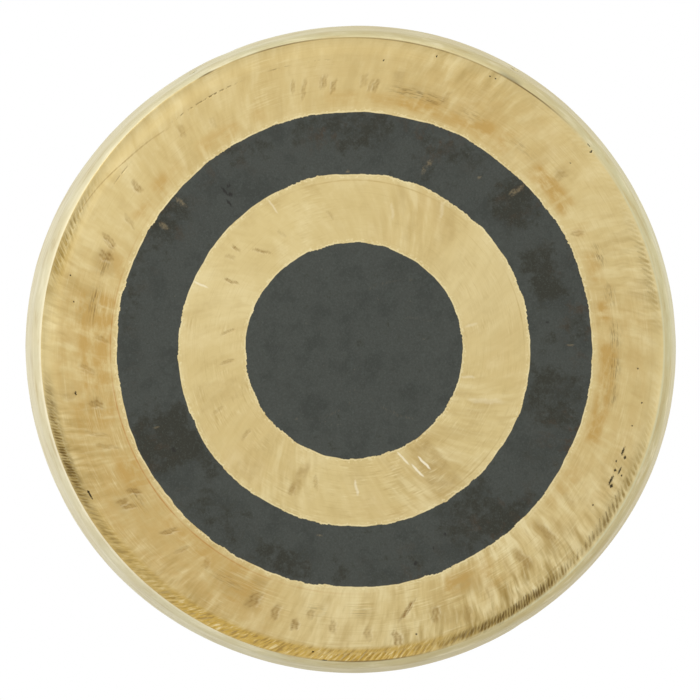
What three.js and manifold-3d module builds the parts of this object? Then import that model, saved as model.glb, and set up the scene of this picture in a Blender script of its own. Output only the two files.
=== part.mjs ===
// A hand-hammered bronze gong: one sheet forged into a shallow dish with its rim turned back, and scraped
// bright in rings. Millimetres. It hangs upright: the axis is Y, the struck face looks towards -Y, +Z is up.
// A place on the sheet is given by its radius from the axis and its depth behind the middle of the face.

import * as THREE from 'three';
import { mergeVertices, toCreasedNormals } from 'three/addons/utils/BufferGeometryUtils.js';
import Module from 'manifold-3d';

const wasm = await Module();
wasm.setup();

// The dish
const edgeDiameter = 762; // across the rim's free edge, the widest place
const creaseDiameter = 721.5; // where the face ends and the shoulder begins
const domeRise = 9; // the middle of the face stands this far in front of the crease
const rimDepth = 52; // from the crease back to the free edge
const shoulderRadius = 20; // outside of the bend between the face and the rim
const shoulderTurnDegrees = 22; // how steeply the shoulder starts at the crease
const sheetMiddle = 3.4; // thickness of the sheet at the axis
const sheetCrease = 2.5; // at the crease, and along the rim
const edgeBreak = 0.4; // filed off both corners of the free edge

// Rings of the face, by their outer diameters
const discDiameter = 249; // dark disc in the middle
const innerBandDiameter = 407; // bright
const darkRingDiameter = 548.5; // dark, and bright from there to the crease
const scrapeDepth = 0.25; // metal scraped off the bright rings, on the front and on the back
const firstPassDepth = 0.12; // left by the first pass, beside the dark ring
const firstPassWidth = 7;
const scrapeRun = 0.4; // width of the slope at the edge of a scraped ring

// Hammer work
const strokeBandWidth = 19; // ring of close strokes just inside the crease
const strokeDepth = 0.6; // how far these strokes sink the face
const dentDepth = 0.5; // broad dents across the bright rings
const dentHalfLength = 17; // along the radius
const dentsAround = 32;
const dentSharpness = 2;
const outerDentRowShares = [0.3, 0.72]; // of the way from the dark ring to the close strokes

// Two holes through the rim for the hanging cord
const holeDiameter = 10;
const holeFromEdge = 22; // from the free edge to the hole's middle
const holeFromTopDegrees = 30; // each side of the top
const holeBreak = 0.4; // taken off the hole's outer edge

// Facets
const facetsPerDent = 3;
const stationSpacing = 75; // most between two rows of facets on the face
const shoulderSteps = 5;
const holeSides = 20;
const creaseShadeDegrees = 15; // sharper folds than this are shaded as edges
const cutOverrun = 2;

const bronze = new THREE.Color('#d2b87c');
const oxide = new THREE.Color('#48504b');

const edgeRadius = edgeDiameter / 2;
const creaseRadius = creaseDiameter / 2;
const overallDepth = domeRise + rimDepth;
const domeRadius = (creaseRadius ** 2 + domeRise ** 2) / (2 * domeRise);
const strokeRadius = creaseRadius - strokeBandWidth;
const radians = THREE.MathUtils.degToRad;

// Depth of the unscraped face, and its slope as an angle.
const domeDepth = (radius) => domeRadius - Math.sqrt(domeRadius ** 2 - radius ** 2);
const domeSlope = (radius) => Math.asin(radius / domeRadius);

// The sheet thins evenly from the middle to the crease.
const sheetAt = (radius) => THREE.MathUtils.mapLinear(radius, 0, creaseRadius, sheetMiddle, sheetCrease);

// Broad hammer dents lie in rows: one on the inner bright band and two on the outer one.
const innerDentRow = (discDiameter + innerBandDiameter) / 4;
const outerDentRows = outerDentRowShares.map((share) =>
  THREE.MathUtils.lerp(darkRingDiameter / 2, strokeRadius, share));
const dentRows = [innerDentRow, ...outerDentRows];

// Rings of the face, from the middle out: where each ends, how much is scraped off it, and its rows of dents.
const frontRings = [
  { end: discDiameter / 2, cut: 0, rows: [] },
  { end: innerBandDiameter / 2 - firstPassWidth, cut: scrapeDepth, rows: [innerDentRow] },
  { end: innerBandDiameter / 2, cut: firstPassDepth, rows: [] },
  { end: darkRingDiameter / 2, cut: 0, rows: [] },
  { end: darkRingDiameter / 2 + firstPassWidth, cut: firstPassDepth, rows: [] },
  { end: strokeRadius, cut: scrapeDepth, rows: outerDentRows },
];
const backRings = [
  { end: discDiameter / 2, cut: 0, rows: [] },
  { end: innerBandDiameter / 2, cut: scrapeDepth, rows: [innerDentRow] },
  { end: darkRingDiameter / 2, cut: 0, rows: [] },
  { end: strokeRadius, cut: scrapeDepth, rows: outerDentRows },
];

// Radii after the start of a ring: its rows of dents and its end, or even steps no wider than the spacing.
function radiiOf(start, ring) {
  if (ring.rows.length > 0) {
    return [...ring.rows, ring.end];
  }
  const count = Math.ceil((ring.end - start) / stationSpacing);
  return Array.from({ length: count }, (_, i) => THREE.MathUtils.lerp(start, ring.end, (i + 1) / count));
}

// Radius and scraped depth along the face, up to the ring of close strokes.
function stations(rings) {
  const found = [{ radius: 0, cut: rings[0].cut }];
  let start = 0;
  for (const ring of rings) {
    if (start > 0) {
      found.push({ radius: start + scrapeRun, cut: ring.cut });
    }
    for (const radius of radiiOf(start, ring)) {
      found.push({ radius, cut: ring.cut });
    }
    start = ring.end;
  }
  return found;
}

// The close strokes make a shallow trough that ends at the crease, given as shares of its width and depth.
const troughWidthShares = [0.3, 0.62, 0.88];
const troughDepthShares = [0.62, 1, 0.8];
const trough = troughWidthShares.map((share, i) => ({
  radius: strokeRadius + strokeBandWidth * share,
  sink: strokeDepth * troughDepthShares[i],
}));

// The shoulder's arc starts at the crease. The rim runs straight from where the arc heads for the free edge.
const shoulderStart = radians(shoulderTurnDegrees);
const creaseDepth = domeRise;
const bendRadius = creaseRadius - shoulderRadius * Math.sin(shoulderStart);
const bendDepth = creaseDepth + shoulderRadius * Math.cos(shoulderStart);
const bendToEdge = new THREE.Vector2(edgeRadius - bendRadius, overallDepth - bendDepth);
const shoulderEnd = bendToEdge.angle() + Math.asin(shoulderRadius / bendToEdge.length());
const rimDirection = new THREE.Vector2(Math.cos(shoulderEnd), Math.sin(shoulderEnd));
const rimOutward = new THREE.Vector2(Math.sin(shoulderEnd), -Math.cos(shoulderEnd));

// Points of the shoulder's arc at a distance from the middle of its bend.
function shoulderArc(arcRadius) {
  return Array.from({ length: shoulderSteps + 1 }, (_, i) => {
    const turn = THREE.MathUtils.lerp(shoulderStart, shoulderEnd, i / shoulderSteps);
    return new THREE.Vector2(bendRadius + arcRadius * Math.sin(turn), bendDepth - arcRadius * Math.cos(turn));
  });
}

// Where a face of the sheet, followed from the shoulder, meets the broken corner of the free edge.
function rimEnd(from) {
  const length = (overallDepth - from.y) / rimDirection.y - edgeBreak;
  return from.clone().addScaledVector(rimDirection, length);
}

function frontProfile() {
  const at = (radius, sink) => new THREE.Vector2(radius, domeDepth(radius) + sink);
  const face = stations(frontRings).map(({ radius, cut }) => at(radius, cut));
  const strokes = trough.map(({ radius, sink }) => at(radius, scrapeDepth + sink));
  const shoulder = shoulderArc(shoulderRadius);
  const corner = new THREE.Vector2(edgeRadius - edgeBreak, overallDepth);
  return [...face, ...strokes, ...shoulder, rimEnd(shoulder.at(-1)), corner];
}

// The back follows the front at the sheet's thickness, with its own scraped rings.
function backProfile() {
  const behind = (radius, sink) => {
    const slope = domeSlope(radius);
    const off = new THREE.Vector2(-Math.sin(slope), Math.cos(slope)).multiplyScalar(sheetAt(radius));
    return off.add(new THREE.Vector2(radius, domeDepth(radius) + sink));
  };
  const face = stations(backRings).map(({ radius, cut }) => behind(radius, -cut));
  const deepest = trough.reduce((found, next) => (next.sink > found.sink ? next : found));
  const shoulder = shoulderArc(shoulderRadius - sheetCrease);
  const corner = new THREE.Vector2(edgeRadius - sheetCrease / rimDirection.y + edgeBreak, overallDepth);
  return [...face, behind(deepest.radius, deepest.sink), ...shoulder, rimEnd(shoulder.at(-1)), corner];
}

// How deep the broad dents are at a place. Each row is turned by one facet from the row before it.
function dentAt(radius, angle) {
  return dentRows.reduce((sum, row, i) => {
    const off = Math.abs(radius - row) / dentHalfLength;
    if (off >= 1) {
      return sum;
    }
    const along = Math.cos((off * Math.PI) / 2) ** 2;
    const turn = (i * 2 * Math.PI) / facetsPerDent;
    const around = Math.max(0, Math.cos(dentsAround * angle + turn)) ** dentSharpness;
    return sum + dentDepth * along * around;
  }, 0);
}

// The hammer sinks the front and pushes out the back alike, so the sheet keeps its thickness.
function hammer(geometry) {
  const place = geometry.getAttribute('position');
  for (let i = 0; i < place.count; i += 1) {
    const radius = Math.hypot(place.getX(i), place.getZ(i));
    const angle = Math.atan2(place.getX(i), place.getZ(i));
    place.setY(i, place.getY(i) + dentAt(radius, angle));
  }
  return geometry;
}

function closedSolid(geometry) {
  geometry.deleteAttribute('normal');
  geometry.deleteAttribute('uv');
  const merged = mergeVertices(geometry);
  const vertProperties = merged.getAttribute('position').array;
  const triVerts = Uint32Array.from(merged.getIndex().array);
  return new wasm.Manifold(new wasm.Mesh({ numProp: 3, vertProperties, triVerts }));
}

function dish() {
  const outline = [...frontProfile(), ...backProfile().reverse()];
  const centred = outline.map(({ x, y }) => new THREE.Vector2(x, y - overallDepth / 2));
  return closedSolid(hammer(new THREE.LatheGeometry(centred, dentsAround * facetsPerDent)));
}

// A drill that goes square through the rim, with a cone that breaks the hole's outer edge.
function drill() {
  const radius = holeDiameter / 2;
  const reach = sheetCrease + cutOverrun;
  const outline = [
    new THREE.Vector2(0, -reach),
    new THREE.Vector2(radius, -reach),
    new THREE.Vector2(radius, -holeBreak),
    new THREE.Vector2(radius + holeBreak + cutOverrun, cutOverrun),
    new THREE.Vector2(0, cutOverrun),
  ];
  return new THREE.LatheGeometry(outline, holeSides);
}

function drillAt(degrees) {
  const back = holeFromEdge / rimDirection.y;
  const radius = edgeRadius - rimDirection.x * back;
  const spot = new THREE.Vector3(0, overallDepth / 2 - holeFromEdge, radius);
  const outward = new THREE.Vector3(0, rimOutward.y, rimOutward.x);
  const turn = new THREE.Quaternion().setFromUnitVectors(new THREE.Vector3(0, 1, 0), outward);
  const cutter = drill().applyQuaternion(turn).translate(spot.x, spot.y, spot.z);
  return closedSolid(cutter.rotateY(radians(degrees)));
}

// The inside of the shoulder and the rim lies nearer the middle of the bend than the sheet's core does.
function isInsideRim(radius, depth) {
  const core = shoulderRadius - sheetCrease / 2;
  const fromBend = new THREE.Vector2(radius - bendRadius, depth - bendDepth);
  const alongRim = fromBend.dot(rimDirection);
  const outward = alongRim > 0 ? fromBend.dot(rimOutward) : fromBend.length();
  return radius > bendRadius && outward < core;
}

// The oxide skin stays on the disc and the dark ring, front and back, and inside the rim, where no scraper
// reaches.
function isOxide(radius, depth) {
  const inDisc = radius <= discDiameter / 2;
  const inRing = radius >= innerBandDiameter / 2 + scrapeRun && radius <= darkRingDiameter / 2;
  return inDisc || inRing || isInsideRim(radius, depth);
}

function paint(geometry) {
  const place = geometry.getAttribute('position');
  const darker = new THREE.Color(oxide.r / bronze.r, oxide.g / bronze.g, oxide.b / bronze.b);
  const bright = new THREE.Color(1, 1, 1);
  const colours = new Float32Array(place.count * 3);
  for (let i = 0; i < place.count; i += 1) {
    const radius = Math.hypot(place.getX(i), place.getZ(i));
    const depth = place.getY(i) + overallDepth / 2;
    (isOxide(radius, depth) ? darker : bright).toArray(colours, i * 3);
  }
  geometry.setAttribute('color', new THREE.BufferAttribute(colours, 3));
  return geometry;
}

function geometryOf(solid) {
  const { vertProperties, triVerts } = solid.getMesh();
  const geometry = new THREE.BufferGeometry();
  geometry.setAttribute('position', new THREE.BufferAttribute(vertProperties, 3));
  geometry.setIndex(new THREE.BufferAttribute(triVerts, 1));
  return toCreasedNormals(geometry, radians(creaseShadeDegrees));
}

const holes = [-holeFromTopDegrees, holeFromTopDegrees].map(drillAt);
const drilled = holes.reduce((solid, hole) => solid.subtract(hole), dish());

const gong = new THREE.Mesh(
  paint(geometryOf(drilled)),
  new THREE.MeshStandardMaterial({ color: bronze, vertexColors: true, roughness: 0.34, metalness: 1 }),
);
gong.name = 'gong';

const part = new THREE.Group();
part.add(gong);

export default part;
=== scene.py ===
"""A hand-hammered bronze gong on a plain pale stage.

The dish is turned from a drawn profile, hammered with a Geometry Nodes modifier and drilled. It is finished
as scraped bronze, with the oxide skin of the forging left on a disc and a ring. Metres, with +Z up. The
gong's axis is Y, and its struck face looks towards -Y.
"""

import math

import bmesh
import bpy
import numpy as np
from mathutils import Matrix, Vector


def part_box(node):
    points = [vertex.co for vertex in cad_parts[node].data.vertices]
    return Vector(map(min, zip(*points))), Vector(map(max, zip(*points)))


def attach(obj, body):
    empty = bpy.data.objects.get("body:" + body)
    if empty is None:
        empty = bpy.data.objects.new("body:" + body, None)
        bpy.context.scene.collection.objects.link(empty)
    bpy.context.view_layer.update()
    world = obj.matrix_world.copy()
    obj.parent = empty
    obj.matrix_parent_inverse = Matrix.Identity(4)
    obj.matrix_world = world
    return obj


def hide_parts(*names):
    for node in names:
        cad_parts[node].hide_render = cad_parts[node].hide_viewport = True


bl_info = {
    "name": "Hammered bronze gong",
    "version": (1, 0, 0),
    "blender": (4, 5, 0),
    "location": "3D View > Sidebar > Gong",
    "description": "Models a hand-hammered bronze gong with scraped rings, and a stage for it",
    "category": "Object",
}

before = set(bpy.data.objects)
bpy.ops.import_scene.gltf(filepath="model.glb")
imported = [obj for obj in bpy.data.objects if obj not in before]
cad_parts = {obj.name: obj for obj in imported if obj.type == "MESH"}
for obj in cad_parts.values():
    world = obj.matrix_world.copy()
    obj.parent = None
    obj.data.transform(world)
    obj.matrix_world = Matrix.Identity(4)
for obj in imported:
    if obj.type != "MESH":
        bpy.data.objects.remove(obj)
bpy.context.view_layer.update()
GONG_LOW, GONG_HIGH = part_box("gong")

MM = 0.001
IMAGE_PIXELS = 700
SENSOR = 36 * MM
FULL_TURN = 2 * math.pi
MERGE_DISTANCE = 0.001 * MM
# Keeps the free edge inside the CAD box
BOX_CLEARANCE = 0.02 * MM

FRONT_SKIN = "front_skin"
STROKE_MARK = "stroke_mark"
BAKE_MAP = "OFBake"

# Sectors that each part of the dish is turned in
DISC_SECTORS = 180
DARK_RING_SECTORS = 360
INNER_BAND_SECTORS = 480
OUTER_BAND_SECTORS = 720
STROKE_SECTORS = 2160
RIM_SECTORS = 600
BACK_SECTORS = 240
# Spacing of the rings of faces on the disc, inner band, dark ring, outer band and close strokes
FRONT_SPACINGS = (10 * MM, 3.7 * MM, 7 * MM, 3.4 * MM, 1.95 * MM)
BACK_SPACINGS = (18 * MM, 8 * MM, 14 * MM, 8 * MM, 5 * MM)
# Gap between two bands of faces, closed by a bridge
SEAM = 0.4 * MM
# The back's last ring of faces ends this far inside the crease
BACK_END = 2 * MM
OUTER_BEND_STEPS = 11
OUTER_RIM_STEPS = 7
INNER_BEND_STEPS = 6
INNER_RIM_STEPS = 5
HOLE_FACETS = 48
CUTTER_LENGTH = 24 * MM


# Sizes, colours and the studio, as the sidebar shows them


def length(name, description, default):
    return bpy.props.FloatProperty(
        name=name, description=description, default=default, min=0, unit="LENGTH", precision=5
    )


def turn(name, description, degrees):
    return bpy.props.FloatProperty(
        name=name, description=description, default=math.radians(degrees), subtype="ANGLE"
    )


def shift(name, description, default):
    return bpy.props.FloatProperty(name=name, description=description, default=default, unit="LENGTH")


def colour(name, description, red, green, blue):
    """A colour written as it shows on screen, 0 to 255."""

    def linear(value):
        share = value / 255
        return share / 12.92 if share <= 0.04045 else ((share + 0.055) / 1.055) ** 2.4

    return bpy.props.FloatVectorProperty(
        name=name,
        description=description,
        default=(linear(red), linear(green), linear(blue)),
        min=0,
        max=1,
        size=3,
        subtype="COLOR",
    )


class GongSizes(bpy.types.PropertyGroup):
    edge_diameter: length("Edge diameter", "Across the rim's free edge", GONG_HIGH.z - GONG_LOW.z)
    crease_diameter: length("Crease diameter", "Where the face ends and the shoulder begins", 721.5 * MM)
    overall_depth: length(
        "Overall depth",
        "From the middle of the face to the free edge",
        GONG_HIGH.y - GONG_LOW.y - BOX_CLEARANCE,
    )
    dome_rise: length("Dome rise", "How far the middle of the face stands in front of the crease", 9 * MM)
    shoulder_radius: length("Shoulder radius", "Outside of the bend between the face and the rim", 20 * MM)
    shoulder_turn: turn("Shoulder turn", "How steeply the shoulder starts at the crease", 22)
    sheet_middle: length("Sheet, middle", "Thickness of the sheet at the axis", 3.4 * MM)
    sheet_crease: length("Sheet, crease", "Thickness at the crease and along the rim", 2.5 * MM)
    disc_diameter: length("Disc", "Diameter of the dark disc", 249 * MM)
    inner_band_diameter: length("Inner band", "Outer diameter of the inner bright band", 407 * MM)
    dark_ring_diameter: length("Dark ring", "Outer diameter of the dark ring", 548.5 * MM)
    scrape_depth: length("Scrape depth", "Metal scraped off the bright bands", 0.25 * MM)
    first_pass_width: length("First pass width", "Width of the first pass beside the dark ring", 7 * MM)
    edge_break: length("Edge break", "Filed off both corners of the free edge", 0.4 * MM)
    hole_diameter: length("Hole diameter", "Of the two holes for the hanging cord", 10 * MM)
    hole_from_edge: length("Hole from edge", "From the free edge to the hole's middle", 22 * MM)
    hole_from_top: turn("Hole from top", "Turn of each hole from the top", 30)


class GongHammering(bpy.types.PropertyGroup):
    stroke_band_width: length("Stroke band", "Width of the close strokes inside the crease", 19 * MM)
    trough_depth: length("Trough depth", "How far the close strokes sink the face", 0.6 * MM)
    stroke_depth: length("Stroke depth", "Of each close stroke", 0.55 * MM)
    strokes_around: bpy.props.IntProperty(
        name="Strokes", description="Close strokes in one turn", default=320, min=1
    )
    ripple_depth: length("Ripple depth", "Of the broad ripples across the bright bands", 0.35 * MM)
    dent_depth: length("Dent depth", "Of the separate dents", 0.22 * MM)
    unevenness: length("Unevenness", "How far the whole sheet waves", 0.6 * MM)
    edge_waviness: length("Edge waviness", "Height of the largest wave of the trimmed edge", 1.5 * MM)


class GongColours(bpy.types.PropertyGroup):
    bronze: colour("Bronze", "Scraped bronze", 216, 195, 138)
    pale: colour("Pale bronze", "Light streaks and ridges", 236, 221, 172)
    # Painted highlights: lit lips of dents, folds, the crease's lip and light lines on the rim
    fresh: colour("Fresh bronze", "Bright folds and lips", 252, 243, 214)
    shaded: colour("Shaded bronze", "Dull streaks", 184, 157, 98)
    stain: colour("Orange stain", "Warm stains on the outer band", 194, 160, 95)
    golden: colour("Golden stain", "Saturated metal below the crease", 198, 164, 80)
    # Painted shade round the close strokes and in the streaks that fan in from them
    olive_shade: colour("Olive stain", "Metal darkened round the close strokes", 148, 124, 66)
    # Brown for the patina in the strokes, the hatching and the dots, and for painted shade in the crease and
    # round the strokes
    patina_and_shade: colour("Patina", "Brown left in the close strokes", 92, 70, 38)
    dent: colour("Dent", "Brown left in the dents", 146, 116, 64)
    rusty_line: colour("Step line", "Orange line of the scraper's first pass", 184, 128, 66)
    # Both rim colours are painted sheen of the pale surroundings: the paler one for the lit left of the rim,
    # the greener one for the rest, which is in shade
    rim: colour("Rim", "Pale bronze of the rim", 225, 217, 184)
    rim_shaded: colour("Rim, shaded", "Greener bronze of the rim", 212, 206, 166)
    oxide: colour("Oxide", "Dark skin of the forging", 64, 67, 61)
    oxide_light: colour("Oxide, worn", "Paler skin where it is rubbed", 80, 86, 80)
    oxide_dark: colour("Oxide, dark", "Darker blotches of the skin", 44, 47, 41)
    oxide_brown: colour("Oxide, brown", "Warmer skin on the ring", 43, 42, 30)
    rust: colour("Rust", "Brown smudges on the dark skin", 64, 50, 32)
    scuff: colour("Scuff", "Bare metal where the dark skin is rubbed off", 142, 126, 94)
    soot: colour("Soot", "Black in pits and flaws", 30, 27, 22)


class GongStudio(bpy.types.PropertyGroup):
    camera_azimuth: turn("Camera azimuth", "Turn of the camera round the gong", -2.1)
    camera_elevation: turn("Camera elevation", "Height of the camera as an angle", 0.4)
    camera_distance: length("Camera distance", "From the gong's middle to the camera", 5.0)
    pixel_size: length("Pixel size", "What one pixel of the image covers at the gong's middle", 1.161 * MM)
    aim_right: shift("Aim right", "Aim to the right of the gong's middle", -3.65 * MM)
    aim_up: shift("Aim up", "Aim above the gong's middle", -0.55 * MM)
    floor_drop: length("Floor drop", "From the gong's axis down to the floor", 0.78)
    floor_radius: length("Floor radius", "Where the floor has faded into the backdrop", 2.6)


# Node trees


class Wiring:
    """Adds nodes to a tree and joins them. A value for a socket is a number, a vector, a text or a socket."""

    def __init__(self, tree):
        self.tree = tree

    def add(self, kind, inputs=None, output=0, **settings):
        node = self.tree.nodes.new(kind)
        for name, value in settings.items():
            setattr(node, name, value)
        for key, value in (inputs or {}).items():
            self.join(value, node.inputs[key])
        return node.outputs[output]

    def join(self, value, socket):
        if isinstance(value, bpy.types.NodeSocket):
            self.tree.links.new(value, socket)
        else:
            socket.default_value = value

    def math(self, operation, *values, clamp=False):
        return self.add("ShaderNodeMath", dict(enumerate(values)), operation=operation, use_clamp=clamp)

    def cos(self, angle):
        return self.math("COSINE", angle)

    def sin(self, angle):
        return self.math("SINE", angle)

    def linear(self, value, slope, start):
        return self.math("MULTIPLY_ADD", value, slope, start)

    def plus(self, *values):
        total = values[0]
        for value in values[1:]:
            total = self.math("ADD", total, value)
        return total

    def minus(self, a, b):
        return self.math("SUBTRACT", a, b)

    def times(self, *values):
        product = values[0]
        for value in values[1:]:
            product = self.math("MULTIPLY", product, value)
        return product

    def largest(self, *values):
        found = values[0]
        for value in values[1:]:
            found = self.math("MAXIMUM", found, value)
        return found

    def invert(self, value):
        return self.math("SUBTRACT", 1.0, value, clamp=True)

    def smooth(self, value, start, end, low=0.0, high=1.0):
        """Goes smoothly from low at start to high at end."""
        limits = {"Value": value, "From Min": start, "From Max": end, "To Min": low, "To Max": high}
        return self.add("ShaderNodeMapRange", limits, interpolation_type="SMOOTHSTEP")

    def window(self, value, start, end, soft):
        """1 between start and end, and 0 outside them."""
        rise = self.smooth(value, self.minus(start, soft), self.plus(start, soft))
        fall = self.smooth(value, self.minus(end, soft), self.plus(end, soft), 1.0, 0.0)
        return self.times(rise, fall)

    def blend(self, share, low, high):
        return self.add("ShaderNodeMix", {0: share, 2: low, 3: high}, data_type="FLOAT")

    def vector(self, x, y, z):
        return self.add("ShaderNodeCombineXYZ", {0: x, 1: y, 2: z})

    def separate(self, vector):
        node = self.tree.nodes.new("ShaderNodeSeparateXYZ")
        self.join(vector, node.inputs[0])
        return tuple(node.outputs)

    def scaled(self, vector, share):
        return self.add("ShaderNodeVectorMath", {0: vector, "Scale": share}, operation="SCALE")

    def noise(self, vector, scale=1.0, detail=2.0, roughness=0.5):
        """Noise about 0, within -1 and 1."""
        inputs = {"Vector": vector, "Scale": scale, "Detail": detail, "Roughness": roughness}
        raw = self.add("ShaderNodeTexNoise", inputs, noise_dimensions="3D")
        return self.linear(raw, 2.0, -1.0)

    def facing(self, angle, degrees, half_width):
        """1 in the given direction round the gong, falling to 0 at the half width."""
        off = self.minus(angle, math.radians(degrees))
        return self.smooth(self.cos(off), math.cos(math.radians(half_width)), 1.0)

    def colours(self, share, low, high):
        low, high = (
            value if isinstance(value, bpy.types.NodeSocket) else (*value, 1.0) for value in (low, high)
        )
        return self.add("ShaderNodeMix", {0: share, 6: low, 7: high}, 2, data_type="RGBA")


class Coats:
    """A colour laid on in coats. A coat covers the ones below it by the product of its shares."""

    def __init__(self, wiring, colour):
        self.wiring = wiring
        self.colour = colour

    def add(self, colour, *shares):
        self.colour = self.wiring.colours(self.wiring.times(*shares), self.colour, colour)


def round_the_axis(wiring, position):
    """From a place in metres: its radius and its depth in millimetres, and its angle."""
    x, y, z = wiring.separate(wiring.scaled(position, 1 / MM))
    radius = wiring.math("SQRT", wiring.plus(wiring.times(x, x), wiring.times(z, z)))
    return radius, y, wiring.math("ARCTAN2", z, x)


def on_circle(wiring, angle, reach, lift):
    """A place on a circle, lifted along its axis. Noise that is read there has no seam round the gong."""
    return wiring.vector(wiring.times(wiring.cos(angle), reach), wiring.times(wiring.sin(angle), reach), lift)


def ring_place(wiring, radius, angle, ring_radius, across, along, slant=0.0):
    """A place for noise that runs across the ring's rays and along them, with no seam round the gong.

    The pattern repeats about every `across` round the ring and every `along` on a ray. Slant is how far it
    leans, as turn of angle for each millimetre of radius.
    """
    turned = wiring.linear(radius, slant, angle)
    return on_circle(wiring, turned, ring_radius / across, wiring.times(radius, 1 / along))


# The dish


class Dish:
    """Where the two skins of the dish run: radius from the axis and place along it, in metres."""

    def __init__(self, sizes, hammering):
        self.sizes = sizes
        self.hammering = hammering
        self.crease = sizes.crease_diameter / 2
        self.edge = sizes.edge_diameter / 2
        self.dome_radius = (self.crease**2 + sizes.dome_rise**2) / (2 * sizes.dome_rise)
        self.stroke_start = self.crease - hammering.stroke_band_width
        turn = sizes.shoulder_turn
        self.bend = Vector(
            (
                self.crease - sizes.shoulder_radius * math.sin(turn),
                sizes.dome_rise + sizes.shoulder_radius * math.cos(turn),
            )
        )
        to_edge = Vector((self.edge, sizes.overall_depth)) - self.bend
        self.rim_turn = math.atan2(to_edge.y, to_edge.x) + math.asin(sizes.shoulder_radius / to_edge.length)

    def along_axis(self, depth):
        return depth - self.sizes.overall_depth / 2

    def dome_depth(self, radius):
        return self.dome_radius - math.sqrt(self.dome_radius**2 - radius**2)

    def sheet(self, radius):
        share = radius / self.crease
        return self.sizes.sheet_middle + (self.sizes.sheet_crease - self.sizes.sheet_middle) * share

    def trough(self, radius):
        share = (radius - self.stroke_start) / self.hammering.stroke_band_width
        if not 0 < share < 1:
            return 0.0
        return self.hammering.trough_depth * math.sin(math.pi * share**1.5) ** 0.8

    def front(self, radius):
        depth = self.dome_depth(radius) + self.trough(radius)
        return radius, self.along_axis(depth)

    def back(self, radius):
        slope = math.asin(radius / self.dome_radius)
        depth = self.dome_depth(radius) + self.trough(radius)
        thickness = self.sheet(radius)
        return radius - math.sin(slope) * thickness, self.along_axis(depth + math.cos(slope) * thickness)

    def shoulder(self, radius, steps):
        """Places along the bend, at a radius from the middle of the bend."""
        found = []
        for step in range(steps + 1):
            turn = self.sizes.shoulder_turn + (self.rim_turn - self.sizes.shoulder_turn) * step / steps
            depth = self.bend.y - radius * math.cos(turn)
            found.append((self.bend.x + radius * math.sin(turn), self.along_axis(depth)))
        return found

    def rim(self, start, steps):
        """Places from the end of the shoulder to the broken corner of the free edge."""
        direction = Vector((math.cos(self.rim_turn), math.sin(self.rim_turn)))
        start = Vector(start)
        run = (self.along_axis(self.sizes.overall_depth) - start.y) / direction.y - self.sizes.edge_break
        return [tuple(start + direction * run * step / steps) for step in range(1, steps + 1)]

    def edge_corners(self):
        """Outer and inner corner of the flat that is filed on the free edge."""
        sizes = self.sizes
        end = self.along_axis(sizes.overall_depth)
        inside = self.edge - sizes.sheet_crease / math.sin(self.rim_turn)
        return (self.edge - sizes.edge_break, end), (inside + sizes.edge_break, end)


def ring_radii(sizes):
    """Radii in millimetres of the disc, the inner band, the dark ring and the crease."""
    names = ("disc_diameter", "inner_band_diameter", "dark_ring_diameter", "crease_diameter")
    return [getattr(sizes, name) / 2 / MM for name in names]


def evenly(start, end, spacing):
    count = max(1, round((end - start) / spacing))
    return [start + (end - start) * step / count for step in range(count + 1)]


def face_radii(sizes, dish, spacings):
    """Radii of the rings of faces, band by band from the middle out. A seam is left between two bands."""
    limits = [
        0.0,
        sizes.disc_diameter / 2,
        sizes.inner_band_diameter / 2,
        sizes.dark_ring_diameter / 2,
        dish.stroke_start,
        dish.crease,
    ]
    bands = []
    for start, end, spacing in zip(limits, limits[1:], spacings):
        first = start + SEAM if start else start
        bands.append(evenly(first, end, spacing))
    return bands


def deselect():
    if bpy.context.object and bpy.context.object.mode != "OBJECT":
        bpy.ops.object.mode_set(mode="OBJECT")
    bpy.ops.object.select_all(action="DESELECT")


def only(*objects):
    deselect()
    for obj in objects:
        obj.select_set(True)
    bpy.context.view_layer.objects.active = objects[0]


def turned(name, profile, sectors, material, skin):
    """Draws a profile as a chain of edges, vertex by vertex, and turns it round the gong's axis."""
    deselect()
    first = Vector((*profile[0], 0))
    bpy.ops.mesh.primitive_plane_add(size=MM, location=first)
    chain = bpy.context.object
    chain.name = name
    bpy.ops.object.transform_apply(location=True, rotation=True, scale=True)
    bpy.ops.object.mode_set(mode="EDIT")
    bpy.ops.mesh.select_all(action="SELECT")
    bpy.ops.mesh.merge(type="CENTER")
    for start, end in zip(profile, profile[1:]):
        step = Vector((end[0] - start[0], end[1] - start[1], 0))
        bpy.ops.mesh.extrude_vertices_move(TRANSFORM_OT_translate={"value": step})
    bpy.ops.object.mode_set(mode="OBJECT")
    turn = chain.modifiers.new("Turn", "SCREW")
    turn.axis = "Y"
    turn.angle = FULL_TURN
    turn.steps = sectors
    turn.render_steps = sectors
    turn.use_merge_vertices = True
    turn.merge_threshold = MERGE_DISTANCE
    bpy.ops.object.modifier_apply(modifier=turn.name)
    chain.data.materials.append(material)
    mark = chain.data.attributes.new(FRONT_SKIN, "FLOAT", "POINT")
    mark.data.foreach_set("value", [skin] * len(chain.data.vertices))
    return chain


def bridge(mesh_object, before, after):
    """Bridges the open ring at one place of the profile to the open ring at the next."""
    mesh = bmesh.from_edit_mesh(mesh_object.data)
    close = 0.02 * MM

    def on_ring(vertex, place):
        radius = math.hypot(vertex.co.x, vertex.co.z)
        return abs(radius - place[0]) < close and abs(vertex.co.y - place[1]) < close

    for edge in mesh.edges:
        edge.select_set(False)
    for edge in mesh.edges:
        if edge.is_boundary:
            a, b = edge.verts
            edge.select_set(any(on_ring(a, place) and on_ring(b, place) for place in (before, after)))
    bmesh.update_edit_mesh(mesh_object.data)
    bpy.ops.mesh.bridge_edge_loops()


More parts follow.
